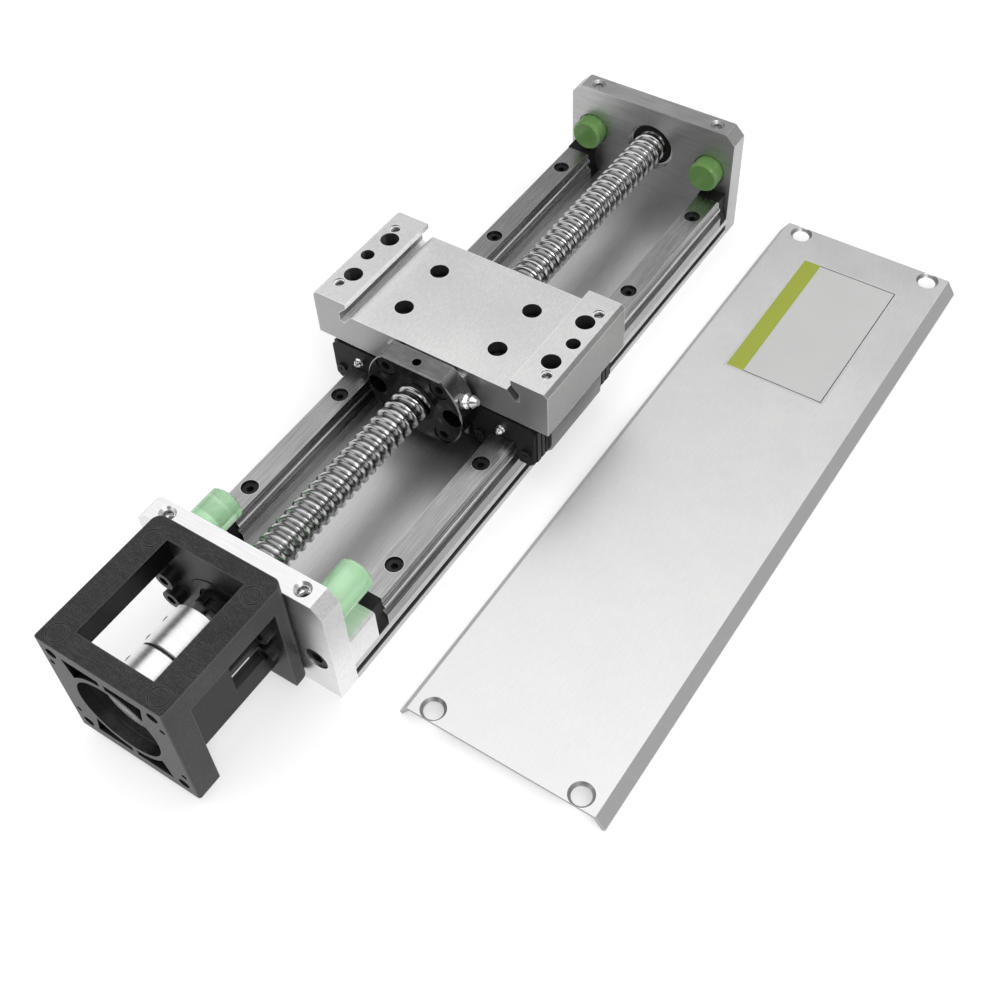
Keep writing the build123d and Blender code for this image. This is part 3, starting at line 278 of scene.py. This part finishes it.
# %% [markdown]
# ## The screw and its nut
# The screw is rolled. Its colour is darker in the groove than on the crests, and deep in
# the groove it is painted darker still, as shade. The distance from its axis tells crest
# from groove, so no second material is needed. The nut is blackened and ground on its
# flats; its faces toward the motor are painted near black, as shade.

# %% Rolled screw and blackened nut
AXIS_Z = 0.0363


def screw_metal(name):
    """Rolled thread, darker in the groove than on the crests, with painted shade deep in the groove."""
    s = Surface(name)
    away = (s.y * s.y + (s.z - AXIS_Z) * (s.z - AXIS_Z)) ** 0.5
    crest = away.ramp(0.0066, 0.0078)
    grain = s.noise(900.0, 2.0, (4.0, 1.0, 1.0))
    stain = s.noise(120.0, 3.0)
    shown = (crest * 0.5 + stain * 0.5).ramp(0.1, 0.9).blend(grey(0.22), grey(0.54))
    # Painted shade: deep in the groove the colour goes nearly black.
    return s.set(
        Base_Color=s.open_air(0.003, 0.2, 0.8).blend(grey(0.05), shown),
        Metallic=1.0,
        Roughness=grain * 0.1 + stain * 0.08 + 0.08,
        Normal=s.bump(grain, 0.00001),
    )


def nut_metal(name):
    """Blackened nut with ground flats; its faces toward the motor are painted near black, as shade."""
    s = Surface(name)
    grain = s.noise(1800.0, 3.0, (1, 0.1, 1), 0.6)
    patches = s.noise(220.0, 3.0)
    # Lighter edges: wear, and a painted highlight.
    wear_and_edge_highlight = s.edges(0.0004) * 0.35
    # Painted shade: faces toward the motor are painted near black.
    black = s.facing(TO_MOTOR) * (1.0 - patches.ramp(0.55, 0.7) * 0.45)
    ground = (grain * 0.5 + patches * 0.3 + wear_and_edge_highlight).ramp(0.25, 0.8)
    dark = (patches * 0.6 + wear_and_edge_highlight).ramp(0.2, 0.8)
    shown = black.blend(
        ground.blend((0.13, 0.13, 0.133), grey(0.30)), dark.blend((0.016, 0.016, 0.017), grey(0.10)),
    )
    # Painted shade: holes and corners go nearly black.
    return s.set(
        Base_Color=s.open_air().blend(grey(0.008), shown),
        Metallic=1.0,
        Roughness=grain * 0.12 + 0.17,
        Normal=s.bump(grain, 0.00001),
    )


# %% [markdown]
# ## The black parts
# Screws and lock nut have a black oxide skin with a little oil. The motor housing is a
# casting with a pimpled coat; its recessed walls, its holes and corners and the faces
# inside that don't look up or toward the motor are painted in deep shade. End caps,
# buffers and seals are moulded. Each is nearly black, so gloss and fine relief tell them
# apart more than colour does.


# %% Black oxide, black casting and black mouldings
def dark_metal(name):
    """Blackened steel with a little oil on it."""
    s = Surface(name)
    grain = s.noise(1400.0, 2.0)
    patches = s.noise(160.0, 2.0)
    # Lighter edges: wear, and a painted highlight.
    wear_and_edge_highlight = s.edges(0.0003) * 0.5
    tone = (patches * 0.5 + wear_and_edge_highlight).ramp(0.1, 0.8)
    return s.set(
        Base_Color=tone.blend((0.006, 0.006, 0.007), (0.06, 0.06, 0.062)),
        Metallic=0.5,
        Specular_IOR_Level=0.3,
        Roughness=grain * 0.15 + patches * 0.12 + 0.26,
        Normal=s.bump(grain, 0.00001),
    )


def cast_black(name, wall=0.0265):
    """Black coated casting: fine pimples, faint slanted scratches, greyer edges.

    wall is the distance from the middle past which its sides keep their tone; nearer faces
    that don't look up or toward the motor are painted in deep shade.
    """
    s = Surface(name)
    pimples = s.noise(2500.0, 2.0, rough=0.6)
    scratches = s.noise(900.0, 2.0, (1.5, 0.35, 1.0), 0.6)
    dust = s.noise(60.0, 4.0)
    # Lighter edges: wear, and a painted highlight.
    wear_and_edge_highlight = s.edges(0.0007) * 0.55
    tone = (pimples * 0.6 + scratches * 0.25 + dust * 0.15 + wear_and_edge_highlight).ramp(0.40, 0.80)
    shown = tone.blend((0.005, 0.005, 0.006), (0.064, 0.064, 0.066))
    # Painted shade: only sides past wall, faces looking up and faces toward the motor keep their tone; all
    # other faces, and holes and corners, go nearly black.
    unshaded_faces = s.y.maths("ABSOLUTE").ramp(wall - 0.001, wall + 0.001)
    unshaded_faces = unshaded_faces.maths("MAXIMUM", s.facing(UPWARDS)).maths("MAXIMUM", s.facing(TO_MOTOR))
    return s.set(
        Base_Color=(unshaded_faces * s.open_air(0.02, 0.25, 0.75)).blend(grey(0.002), shown),
        Specular_IOR_Level=0.32,
        Roughness=pimples * 0.2 + 0.30,
        Normal=s.bump(pimples * 0.8 + scratches * 0.2, 0.00007),
    )


def black_moulding(name, rough, tone):
    """Black plastic or rubber with a fine skin."""
    s = Surface(name)
    skin = s.noise(2200.0, 3.0)
    dust = s.noise(90.0, 3.0)
    # Lighter edges: wear, and a painted highlight.
    wear_and_edge_highlight = s.edges(0.0004) * 0.35
    return s.set(
        Base_Color=(dust * 0.6 + wear_and_edge_highlight).ramp(0.2, 0.8).blend(grey(tone * 0.5), grey(tone * 2.6)),
        Specular_IOR_Level=0.3,
        Roughness=skin * 0.18 + (rough - 0.09),
        Normal=s.bump(skin, 0.00003),
    )


# %% [markdown]
# ## The stops
# Four stops of clear green rubber end the travel. A green plastic shader would look
# solid, so light passes through these. Their rims are painted paler, as light that
# pools there. The two at the far end are painted a deeper green, as the shade of their
# plate.


# %% Clear green rubber
def clear_green(name, deep, pale, clearness):
    """Clear green cast rubber: light passes through it, and its rim is painted paler, as light that pools
    there.
    """
    s = Surface(name)
    cloud = s.noise(140.0, 3.0)
    skin = s.noise(900.0, 2.0)
    rim = s.edges(0.0012)
    # Painted light: the rim is painted paler, as light pooling there.
    return s.set(
        Base_Color=(cloud * 0.7 + rim * 0.3).ramp(0.25, 0.8).blend(deep, pale),
        Transmission_Weight=clearness,
        IOR=1.42,
        Roughness=skin * 0.08 + 0.05,
        Normal=s.bump(skin, 0.00002),
    )


# %% [markdown]
# ## Each finish gets its numbers
# The tones are the ones that the metals show under a plain pale light. A stretch
# below 1 draws the grain out along that axis: x runs along the rails, y across them.

# %% Aluminium
surfaces = {
    "base_aluminium": worked_metal(
        "extruded base", grey(0.50), grey(0.62), 0.42, (0.05, 1, 1), 1500.0, 0.00002,
    ),
    "plate_aluminium": worked_metal(
        "milled plate", grey(0.72), grey(0.90), 0.38, (1, 0.06, 1), 1300.0, 0.00003,
    ),
    # cut puts painted shade on the sides of carriage and cover; land puts a painted highlight on the
    # carriage's walls toward the cover.
    "carriage_aluminium": worked_metal(
        "milled carriage", grey(0.66), (0.84, 0.84, 0.83), 0.40, (0.25, 1, 1), 1600.0, 0.00004,
        edge=0.9, cut=0.5, air=(0.010, 0.05, 0.20), land=0.03,
    ),
    "cover_aluminium": worked_metal(
        "brushed cover", grey(0.67), (0.75, 0.75, 0.745), 0.42, (0.12, 1, 1), 1500.0, 0.00002,
        blotch=45.0, cut=0.5,
    ),
    "coupling_aluminium": worked_metal(
        "turned hub", grey(0.66), grey(0.88), 0.34, (1, 0.15, 0.15), 1600.0, 0.00003,
    ),
}
print("aluminium finishes:", len(surfaces))

# %% Steel
surfaces |= {
    "rail_steel": worked_metal(
        "ground rail", grey(0.22), grey(0.46), 0.27, (0.02, 1, 1), 2200.0, 0.00002,
    ),
    "block_steel": worked_metal(
        "ground block", grey(0.17), grey(0.36), 0.33, (0.03, 1, 1), 1800.0, 0.00002,
    ),
    "bearing_steel": worked_metal(
        "bearing steel", grey(0.5), grey(0.8), 0.2, (1, 1, 1), 900.0, 0.00001,
    ),
    "nipple_steel": worked_metal(
        "plated nipple", grey(0.62), grey(0.92), 0.2, (1, 1, 1), 900.0, 0.00001,
    ),
    "nut_steel": nut_metal("blackened nut"),
    "screw_steel": screw_metal("rolled screw"),
    "black_steel": dark_metal("black oxide"),
}
print("aluminium and steel finishes:", len(surfaces))

# %% Casting, mouldings and stops
surfaces |= {
    "black_casting": cast_black("black casting"),
    "black_plastic": black_moulding("black moulding", 0.42, 0.006),
    "black_rubber": black_moulding("black rubber", 0.6, 0.007),
    "green_urethane": clear_green("clear green rubber", (0.58, 0.92, 0.58), (0.80, 1.0, 0.78), 0.55),
}
own_surfaces = {
    # The far plate gets a darker copy of the milled plate: painted shade.
    "far_end_plate": worked_metal(
        "milled plate in painted shade", grey(0.40), grey(0.54), 0.40, (1, 0.06, 1), 1300.0, 0.00003,
    ),
    # The far stops get a deeper green: painted shade of their plate.
    "far_bumpers": clear_green("green rubber in painted shade", (0.21, 0.46, 0.12), (0.37, 0.66, 0.24), 0.45),
}
print("all finishes:", len(surfaces), "and for one piece only:", len(own_surfaces))

# %% Every solid of the frame takes its finish
for part in frame["record"]["subparts"]:
    piece = nodes[part["node"]]
    finish = own_surfaces.get(part["node"], surfaces[part["material_slot"]])
    if not piece.material_slots:
        piece.data.materials.append(finish)
    for material_slot in piece.material_slots:
        material_slot.material = finish

# %% [markdown]
# ## The groove of the ball screw
# The screw carries balls in a round groove that winds along it once every 5 mm. The
# frame holds it as a plain bar, so here the bar gets its groove. A screw modifier could
# sweep a profile, but its steps would cut the groove at both ends. Instead a flat grid
# has one row of points for each step along the winding and a few across it, and
# Geometry Nodes bend that grid round the axis. The edges of the groove then follow the
# winding, and the ends are held square.

# %% Sizes of the screw, in metres
CREST = 0.008
SHOULDER = 0.0068
JOURNAL = 0.005
JOURNAL_CHAMFER = 0.0004
THREAD_X = (-0.1495, 0.1517)
NEAR_SHOULDER_X = (-0.1517, -0.1492)
FAR_SHOULDER_X = (0.1514, 0.1527)
CIRCLIP_X = (0.1607, 0.1617)
CIRCLIP_BED = 0.0047
WELD = 0.000004
screw_low, screw_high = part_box("ball_screw")
print("screw from", screw_low, "to", screw_high)


# %% How a tree starts and ends
def new_tree(name, wanted):
    """A geometry tree with named inputs; returns it with its inputs by name."""
    tree = bpy.data.node_groups.new(name, "GeometryNodeTree")
    for label, kind in wanted:
        tree.interface.new_socket(label, in_out="INPUT", socket_type=kind)
    tree.interface.new_socket("Geometry", in_out="OUTPUT", socket_type="NodeSocketGeometry")
    source = tree.nodes.new("NodeGroupInput")
    return tree, {label: Value(tree, source.outputs[label]) for label, kind in wanted}


def finish_tree(tree, geometry, material):
    """Ends a tree in plain geometry with its material."""
    plain = geometry.node("GeometryNodeRealizeInstances", i0=geometry)
    painted = plain.node("GeometryNodeSetMaterial", i0=plain, Material=material)
    sink = tree.nodes.new("NodeGroupOutput")
    tree.links.new(painted.socket, sink.inputs[0])


def grow(name, tree, values):
    """Runs a tree once on an empty mesh and returns the mesh that it made."""
    carrier = bpy.data.objects.new(name, bpy.data.meshes.new(name))
    bpy.context.scene.collection.objects.link(carrier)
    modifier = carrier.modifiers.new("grow", "NODES")
    modifier.node_group = tree
    for item in tree.interface.items_tree:
        if item.in_out == "INPUT" and item.name in values:
            modifier[item.identifier] = values[item.name]
    ready = carrier.evaluated_get(bpy.context.evaluated_depsgraph_get())
    mesh = bpy.data.meshes.new_from_object(ready)
    carrier.modifiers.remove(modifier)
    bpy.data.objects.remove(carrier)
    mesh.name = name
    return mesh


# %% [markdown]
# ## The section of the groove
# Across the winding, the grid's points are a crest point, a broken edge, an arc through
# the groove, and the other broken edge. Each point knows its column, and the column
# gives two numbers: how far it is shifted along the screw, and its distance from the
# axis. The same two numbers serve every turn.


# %% The winding section, from the column of each point
def groove_section(size, column):
    """The shift along the screw and the radius of a column of the grid."""
    broken = size["Crest radius"] - size["Edge depth"]
    widest = ((size["Groove centre"] - broken) / size["Groove radius"]).maths("ARCCOSINE")
    share = (column - 2.0).maths("MAXIMUM", 0.0) / (size["Points across"] - 4.0)
    swing = (share.maths("MINIMUM", 1.0) * 2.0 - 1.0) * widest
    half = size["Groove radius"] * widest.maths("SINE") + size["Edge width"]
    before = column.maths("LESS_THAN", 1.5)
    beyond = column.maths("GREATER_THAN", size["Points across"] - 1.5)
    crest_step = column.maths("LESS_THAN", 0.5) * (size["Lead"] - half * 2.0)
    edge_step = (beyond - before) * size["Edge width"]
    bend_step = size["Groove radius"] * swing.maths("SINE")
    arc = size["Groove centre"] - size["Groove radius"] * swing.maths("COSINE")
    return bend_step, edge_step, crest_step, arc + (before + beyond) * size["Edge depth"]


def close_ends(root, tube):
    """Draws the open rims of a tube to its axis and welds them there."""
    rim = root.node("GeometryNodeInputMeshEdgeNeighbors").maths("LESS_THAN", 1.5)
    ends = root.node(
        "GeometryNodeExtrudeMesh", settings={"mode": "EDGES"}, i0=tube, Selection=rim, Offset_Scale=0.0,
    )
    top = Value(root.tree, ends.socket.node.outputs[1])
    along = root.node("GeometryNodeInputPosition").xyz()[0]
    middle = root.node("ShaderNodeCombineXYZ", i0=along)
    closed = root.node("GeometryNodeSetPosition", i0=ends, Selection=top, Position=middle)
    return root.node("GeometryNodeMergeByDistance", i0=closed, Distance=WELD)


# %% The tree that winds the grid round the axis
def groove_tree():
    """A bar with a round helical groove, cut square at both ends."""
    numbers = (
        "Length", "Lead", "Crest radius", "Groove radius", "Groove centre", "End chamfer",
        "Edge width", "Edge depth", "Steps round", "Points across",
    )
    wanted = [(label, "NodeSocketFloat") for label in numbers]
    tree, size = new_tree("ball groove", wanted + [("Material", "NodeSocketMaterial")])
    root = Value(tree, None)
    turns = size["Length"] / size["Lead"] + 2.0
    grid = root.node(
        "GeometryNodeMeshGrid", i0=turns, i1=1.0,
        i2=turns * size["Steps round"] + 1.0, i3=size["Points across"],
    )
    here_x, here_y = root.node("GeometryNodeInputPosition").xyz()[:2]
    wound = here_x + turns / 2.0 - 1.0
    column = (here_y + 0.5) * (size["Points across"] - 1.0)
    bend_step, edge_step, crest_step, section = groove_section(size, column)
    along = wound * size["Lead"] + bend_step + edge_step - crest_step
    held = along.maths("MAXIMUM", 0.0).maths("MINIMUM", size["Length"])
    to_end = held.maths("MINIMUM", size["Length"] - held)
    radius = section.maths("MINIMUM", size["Crest radius"] - size["End chamfer"] + to_end)
    angle = wound * (2.0 * math.pi)
    flag = {"data_type": "BOOLEAN"}
    marked = root.node(
        "GeometryNodeStoreNamedAttribute", settings={**flag, "domain": "POINT"}, Geometry=grid,
        Name="outside", Value=along.maths("LESS_THAN", 0.0) + along.maths("GREATER_THAN", size["Length"]),
    )
    place = root.node(
        "ShaderNodeCombineXYZ", i0=held,
        i1=radius * angle.maths("COSINE"), i2=radius * angle.maths("SINE"),
    )
    bent = root.node("GeometryNodeSetPosition", i0=marked, Position=place)
    gone = root.node("GeometryNodeInputNamedAttribute", settings=flag, Name="outside")
    cut = root.node("GeometryNodeDeleteGeometry", settings={"domain": "FACE"}, i0=bent, Selection=gone)
    welded = root.node("GeometryNodeMergeByDistance", i0=cut, Distance=WELD)
    finish_tree(tree, close_ends(root, welded), size["Material"])
    return tree


groove = grow("ball_groove", groove_tree(), {
    "Length": THREAD_X[1] - THREAD_X[0], "Lead": 0.005, "Crest radius": CREST,
    "Groove radius": 0.00165, "Groove centre": 0.00825, "End chamfer": 0.0008,
    "Edge width": 0.00032, "Edge depth": 0.0002,
    "Steps round": 48.0, "Points across": 14.0, "Material": surfaces["screw_steel"],
})
groove.transform(Matrix.Translation((THREAD_X[0], 0.0, AXIS_Z)))
print("grooved part of the screw:", len(groove.polygons), "faces")

# %% [markdown]
# ## The turned ends
# Past the groove the screw is turned down to a shoulder and a journal, with a bed for
# the circlip at the far end. A profile that is spun about the axis is what a lathe
# makes, so a short list of points says all of it.


# %% A solid of revolution, and one piece from several meshes
def turned(name, profile, around=64):
    """A solid of revolution about the screw's axis, from points (along, radius)."""
    shape = bmesh.new()
    angles = [2.0 * math.pi * step / around for step in range(around)]
    rings = []
    for along, radius in profile:
        ring = [(radius * math.cos(a), AXIS_Z + radius * math.sin(a)) for a in angles]
        ring = ring if radius > 0.0 else [(0.0, AXIS_Z)]
        rings.append([shape.verts.new((along, y, z)) for y, z in ring])
    for first, second in zip(rings, rings[1:]):
        for step in range(around):
            after = (step + 1) % around
            corners = [first[step % len(first)], first[after % len(first)]]
            corners += [second[after % len(second)], second[step % len(second)]]
            shape.faces.new(list(dict.fromkeys(corners)))
    mesh = bpy.data.meshes.new(name)
    shape.to_mesh(mesh)
    shape.free()
    return mesh


def one_piece(name, meshes, material, crease=0.6):
    """Joins meshes in one object, with outward faces and edges kept where they are sharp."""
    whole = bmesh.new()
    for mesh in meshes:
        whole.from_mesh(mesh)
    bmesh.ops.recalc_face_normals(whole, faces=whole.faces)
    joined = bpy.data.meshes.new(name)
    whole.to_mesh(joined)
    whole.free()
    joined.materials.clear()
    joined.materials.append(material)
    joined.polygons.foreach_set("material_index", [0] * len(joined.polygons))
    joined.polygons.foreach_set("use_smooth", [True] * len(joined.polygons))
    joined.set_sharp_from_angle(angle=crease)
    piece = bpy.data.objects.new(name, joined)
    bpy.context.scene.collection.objects.link(piece)
    return piece


# %% The whole screw stands for the plain bar
near_end_x, far_end_x = screw_low[0], screw_high[0]
motor_end = turned("motor_end", [
    (near_end_x, 0.0), (near_end_x, JOURNAL - JOURNAL_CHAMFER), (near_end_x + JOURNAL_CHAMFER, JOURNAL),
    (NEAR_SHOULDER_X[0], JOURNAL), (NEAR_SHOULDER_X[0], SHOULDER),
    (NEAR_SHOULDER_X[1], SHOULDER), (NEAR_SHOULDER_X[1], 0.0),
])
far_end = turned("far_end", [
    (FAR_SHOULDER_X[0], 0.0), (FAR_SHOULDER_X[0], SHOULDER),
    (FAR_SHOULDER_X[1], SHOULDER), (FAR_SHOULDER_X[1], JOURNAL),
    (CIRCLIP_X[0], JOURNAL), (CIRCLIP_X[0], CIRCLIP_BED), (CIRCLIP_X[1], CIRCLIP_BED), (CIRCLIP_X[1], JOURNAL),
    (far_end_x - JOURNAL_CHAMFER, JOURNAL), (far_end_x, JOURNAL - JOURNAL_CHAMFER), (far_end_x, 0.0),
])
screw = one_piece("grooved_screw", [groove, motor_end, far_end], surfaces["screw_steel"])
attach(screw, "screw")
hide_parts("ball_screw")
print("grooved screw:", len(screw.data.polygons), "faces")

# %% [markdown]
# ## Threads in the tapped holes
# The light falls on the first turns of thread in each tapped hole. A picture of a
# thread would be flat, and a cut thread would be heavy. A coil with a three-sided
# section, set in the plain hole, looks like one. It is the same coil on a list of
# points, which is what instances on points are for.


# %% One lining in each of a list of places
def coil_tree(places):
    """A coil that lines a hole, set at each of the places."""
    number = "NodeSocketFloat"
    tree, size = new_tree("thread coils", (
        ("Hole radius", number), ("Depth", number), ("Pitch", number), ("Material", "NodeSocketMaterial"),
    ))
    root = Value(tree, None)
    path = root.node(
        "GeometryNodeCurveSpiral", Resolution=28, Rotations=size["Depth"] / size["Pitch"],
        Start_Radius=size["Hole radius"], End_Radius=size["Hole radius"], Height=size["Depth"],
    )
    ridge = root.node("GeometryNodeCurvePrimitiveCircle", Resolution=3, Radius=size["Pitch"] * 0.42)
    coil = root.node("GeometryNodeCurveToMesh", i0=path, Profile_Curve=ridge, Fill_Caps=True)
    joined = tree.nodes.new("GeometryNodeJoinGeometry")
    for place in places:
        point = root.node("GeometryNodePoints", Position=place)
        tree.links.new(point.socket, joined.inputs[0])
    coils = root.node("GeometryNodeInstanceOnPoints", i0=Value(tree, joined.outputs[0]), Instance=coil)
    finish_tree(tree, coils, size["Material"])
    return tree


def thread_coils(name, body, places, radius, depth, pitch=0.001):
    """Coils for a list of holes of one body."""
    lining = Surface(name + " thread")
    lining.set(Base_Color=grey(0.80), Metallic=1.0, Roughness=lining.noise(1500.0) * 0.2 + 0.2)
    mesh = grow(name, coil_tree(places), {
        "Hole radius": radius, "Depth": depth, "Pitch": pitch, "Material": lining.material,
    })
    piece = one_piece(name, [mesh], lining.material, 0.4)
    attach(piece, body)
    print(name, len(piece.data.polygons), "faces")
    return piece


# %% Tapped holes of the end plates, for the cover, and of the carriage's lands
PLATE_HOLE = (0.1556, 0.03235)
LAND_HOLE = (0.02, 0.052)
CARRIAGE_MIDDLE_X = -0.0052
plate_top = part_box("motor_end_plate")[1][2]
carriage_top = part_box("carriage_plate")[1][2]
plate_holes = [
    (side * PLATE_HOLE[0], other * PLATE_HOLE[1], plate_top - 0.0105) for side in (-1, 1) for other in (-1, 1)
]
land_holes = [
    (CARRIAGE_MIDDLE_X + side * LAND_HOLE[0], other * LAND_HOLE[1], carriage_top - 0.0108)
    for side in (-1, 1) for other in (-1, 1)
]
thread_coils("plate_hole_threads", "frame", plate_holes, 0.0026, 0.0092)
thread_coils("land_hole_threads", "carriage", land_holes, 0.0025, 0.0104)

# %% [markdown]
# ## A plain label on the cover
# The cover carries a film of about 83 by 48 mm: a white panel, a yellow-green band at
# one side and a thin line round the rest. Paint in the cover's own material would have
# no edge to catch the light. So each is a thin sheet of its own, let into the cover by
# most of its thickness, so that the cover's height stays as it is.

# %% Sizes of the label, in metres
LABEL_X = (0.0645, 0.1473)
LABEL_Y = (-0.1364, -0.0880)
LABEL_MARGIN = 0.0012
BAND_WIDTH = 0.0082
LINE_WIDTH = 0.0004
LABEL_THICKNESS = 0.00012
label_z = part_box("cover_plate")[1][2] - LABEL_THICKNESS * 0.9
print_z = label_z + LABEL_THICKNESS * 0.25
print("label at", label_z)


# %% Printed film
def film(name, colour):
    """Printed film with a faint sheen."""
    s = Surface(name)
    fibre = s.noise(1500.0, 2.0)
    tint = s.noise(70.0, 3.0)
    return s.set(
        Base_Color=tint.blend(dimmed(colour, 0.93), colour),
        Roughness=fibre * 0.1 + 0.3,
        Normal=s.bump(fibre, 0.000008),
    )


def flat_panel(name, x, y, z, material):
    """A thin panel of the label, from two ranges and a level."""
    corners = [(x[0], y[0]), (x[1], y[0]), (x[1], y[1]), (x[0], y[1])]
    points = [(a, b, z) for a, b in corners] + [(a, b, z + LABEL_THICKNESS) for a, b in corners]
    faces = [(3, 2, 1, 0), (4, 5, 6, 7), (0, 1, 5, 4), (1, 2, 6, 5), (2, 3, 7, 6), (3, 0, 4, 7)]
    mesh = bpy.data.meshes.new(name)
    mesh.from_pydata(points, [], faces)
    mesh.materials.append(material)
    panel = bpy.data.objects.new(name, mesh)
    bpy.context.scene.collection.objects.link(panel)
    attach(panel, "cover")
    return panel


# %% Panel, band and line
inner_x = (LABEL_X[0] + LABEL_MARGIN, LABEL_X[1] - LABEL_MARGIN)
inner_y = (LABEL_Y[0] + LABEL_MARGIN, LABEL_Y[1] - LABEL_MARGIN)
band_y = (inner_y[1] - BAND_WIDTH, inner_y[1])
line_y = (inner_y[0], band_y[0])
white = film("label white", (0.52, 0.52, 0.516))
green = film("label band", (0.31, 0.36, 0.035))
dark_line = film("label line", (0.02, 0.02, 0.022))
flat_panel("label_panel", LABEL_X, LABEL_Y, label_z, white)
flat_panel("label_band", inner_x, band_y, print_z, green)
flat_panel("label_line_side", inner_x, (inner_y[0], inner_y[0] + LINE_WIDTH), print_z, dark_line)
flat_panel("label_line_near", (inner_x[0], inner_x[0] + LINE_WIDTH), line_y, print_z, dark_line)
flat_panel("label_line_far", (inner_x[1] - LINE_WIDTH, inner_x[1]), line_y, print_z, dark_line)
print("label from", inner_x, "and", inner_y)

# %% [markdown]
# ## Floor
# The table stands on a pale sheet that the eye reads as white, yet its shadow has to
# stay. More lamp light would bleach the metals. So to the camera, to metal and to clear
# rubber the floor has a glow of its own on top of the light that it gets, while the
# light that it throws back on the table comes from a plain grey sheet, paler toward
# the motor.

# %% A pale floor that keeps the shadow
bpy.ops.mesh.primitive_plane_add(size=12.0, location=(0, 0, -0.0002))
floor = bpy.context.object
floor.name = "floor"
floor_material = bpy.data.materials.new("floor")
floor_material.use_nodes = True
tree = floor_material.node_tree
tree.nodes.clear()
start = Value(tree, None)
floor_x, floor_y = start.node("ShaderNodeTexCoord", out=3).xyz()[:2]
toward_motor = (floor_x + floor_y * 0.2).ramp(-0.22, 0.0, 1.0, 0.0)
thrown = start.node("ShaderNodeBsdfDiffuse", Color=toward_motor.blend(grey(0.20), grey(0.95)))
lit = start.node("ShaderNodeBsdfDiffuse", Color=(*grey(0.60), 1.0))
glow = start.node("ShaderNodeEmission", Color=(*grey(0.45), 1.0), Strength=1.0)
shown = start.node("ShaderNodeAddShader", i0=lit, i1=glow)
paths = tree.nodes.new("ShaderNodeLightPath")
looks = ("Is Camera Ray", "Is Glossy Ray", "Is Transmission Ray")
by_camera, by_metal, by_clear = (Value(tree, paths.outputs[look]) for look in looks)
seen = (by_camera + by_metal + by_clear).maths("MINIMUM", 1.0)
surface = start.node("ShaderNodeMixShader", i0=seen, i1=thrown, i2=shown)
output = tree.nodes.new("ShaderNodeOutputMaterial")
tree.links.new(surface.socket, output.inputs["Surface"])
floor.data.materials.append(floor_material)
print("floor:", len(tree.nodes), "nodes")

# %% [markdown]
# ## Sky
# Metal shows what stands around it. An even sky would make the rails and the screw flat
# and pale, so this one is bright overhead, dark lower down, and pale again in a band at
# the horizon, which is what low views see behind the table.

# %% Bright overhead, dark below, pale at the horizon
world = bpy.data.worlds.new("studio")
bpy.context.scene.world = world
world.use_nodes = True
tree = world.node_tree
tree.nodes.clear()
start = Value(tree, None)
ahead, height = start.node("ShaderNodeTexCoord", out=0).xyz()[::2]
behind = (ahead * -1.0).maths("MAXIMUM", 0.0)
overhead = (height - ahead * 0.35 - behind * 0.9).ramp(0.20, 0.72)
horizon = height.ramp(0.16, 0.24, 0.62, 0.0)
sky = overhead.maths("MAXIMUM", horizon).blend((0.055, 0.055, 0.056), grey(1.0))
background = start.node("ShaderNodeBackground", Color=sky, Strength=1.5)
output = tree.nodes.new("ShaderNodeOutputWorld")
tree.links.new(background.socket, output.inputs["Surface"])
print("sky:", len(tree.nodes), "nodes")

# %% [markdown]
# ## Lamps
# Three soft square lamps stand in for the windows of a studio. The key throws the
# shadow, the fill lights the side of the table that is turned away from it, and the
# back lamp draws a light line along the far edges.

# %% Three soft lamps
TABLE_MIDDLE = Vector((0, -0.05, 0.03))


def soft_lamp(name, place, size, power):
    """A square soft lamp that faces the middle of the table."""
    data = bpy.data.lights.new(name, "AREA")
    data.size = size
    data.energy = power
    lamp = bpy.data.objects.new(name, data)
    lamp.location = place
    lamp.rotation_euler = (TABLE_MIDDLE - Vector(place)).to_track_quat("-Z", "Y").to_euler()
    bpy.context.scene.collection.objects.link(lamp)
    print(name, "lamp:", power, "W")
    return lamp


soft_lamp("key", (-0.55, -0.75, 0.75), 0.5, 4.0)
soft_lamp("fill", (-1.1, 0.5, 0.6), 0.7, 2.0)
soft_lamp("back", (0.9, -0.7, 1.0), 0.6, 1.5)

# %% [markdown]
# ## Camera
# The camera stands where the photograph was taken from: over the motor end, high up,
# with the table running away to the top right. The straight edges of base, plates and
# rails gave its place and its lens. Three unit vectors say how it is turned, which
# leaves no doubt about the order of angles.

# %% Camera at the photograph's place
RIGHT = Vector((0.552815, -0.832259, -0.041716))
UP = Vector((0.66728, 0.412134, 0.620389))
BACK = Vector((-0.499132, -0.370797, 0.783184))
CAMERA_PLACE = (-0.33403, -0.25438, 0.44812)
camera_data = bpy.data.cameras.new("camera")
camera_data.sensor_width = 36.0
camera_data.lens = 48.50
camera_data.clip_start = 0.01
camera = bpy.data.objects.new("camera", camera_data)
bpy.context.scene.collection.objects.link(camera)
turn = Matrix((RIGHT, UP, BACK)).transposed().to_4x4()
camera.matrix_world = Matrix.Translation(CAMERA_PLACE) @ turn
bpy.context.scene.camera = camera
bpy.context.scene.view_settings.view_transform = "Standard"
print("camera at", CAMERA_PLACE, "with a lens of", camera_data.lens)
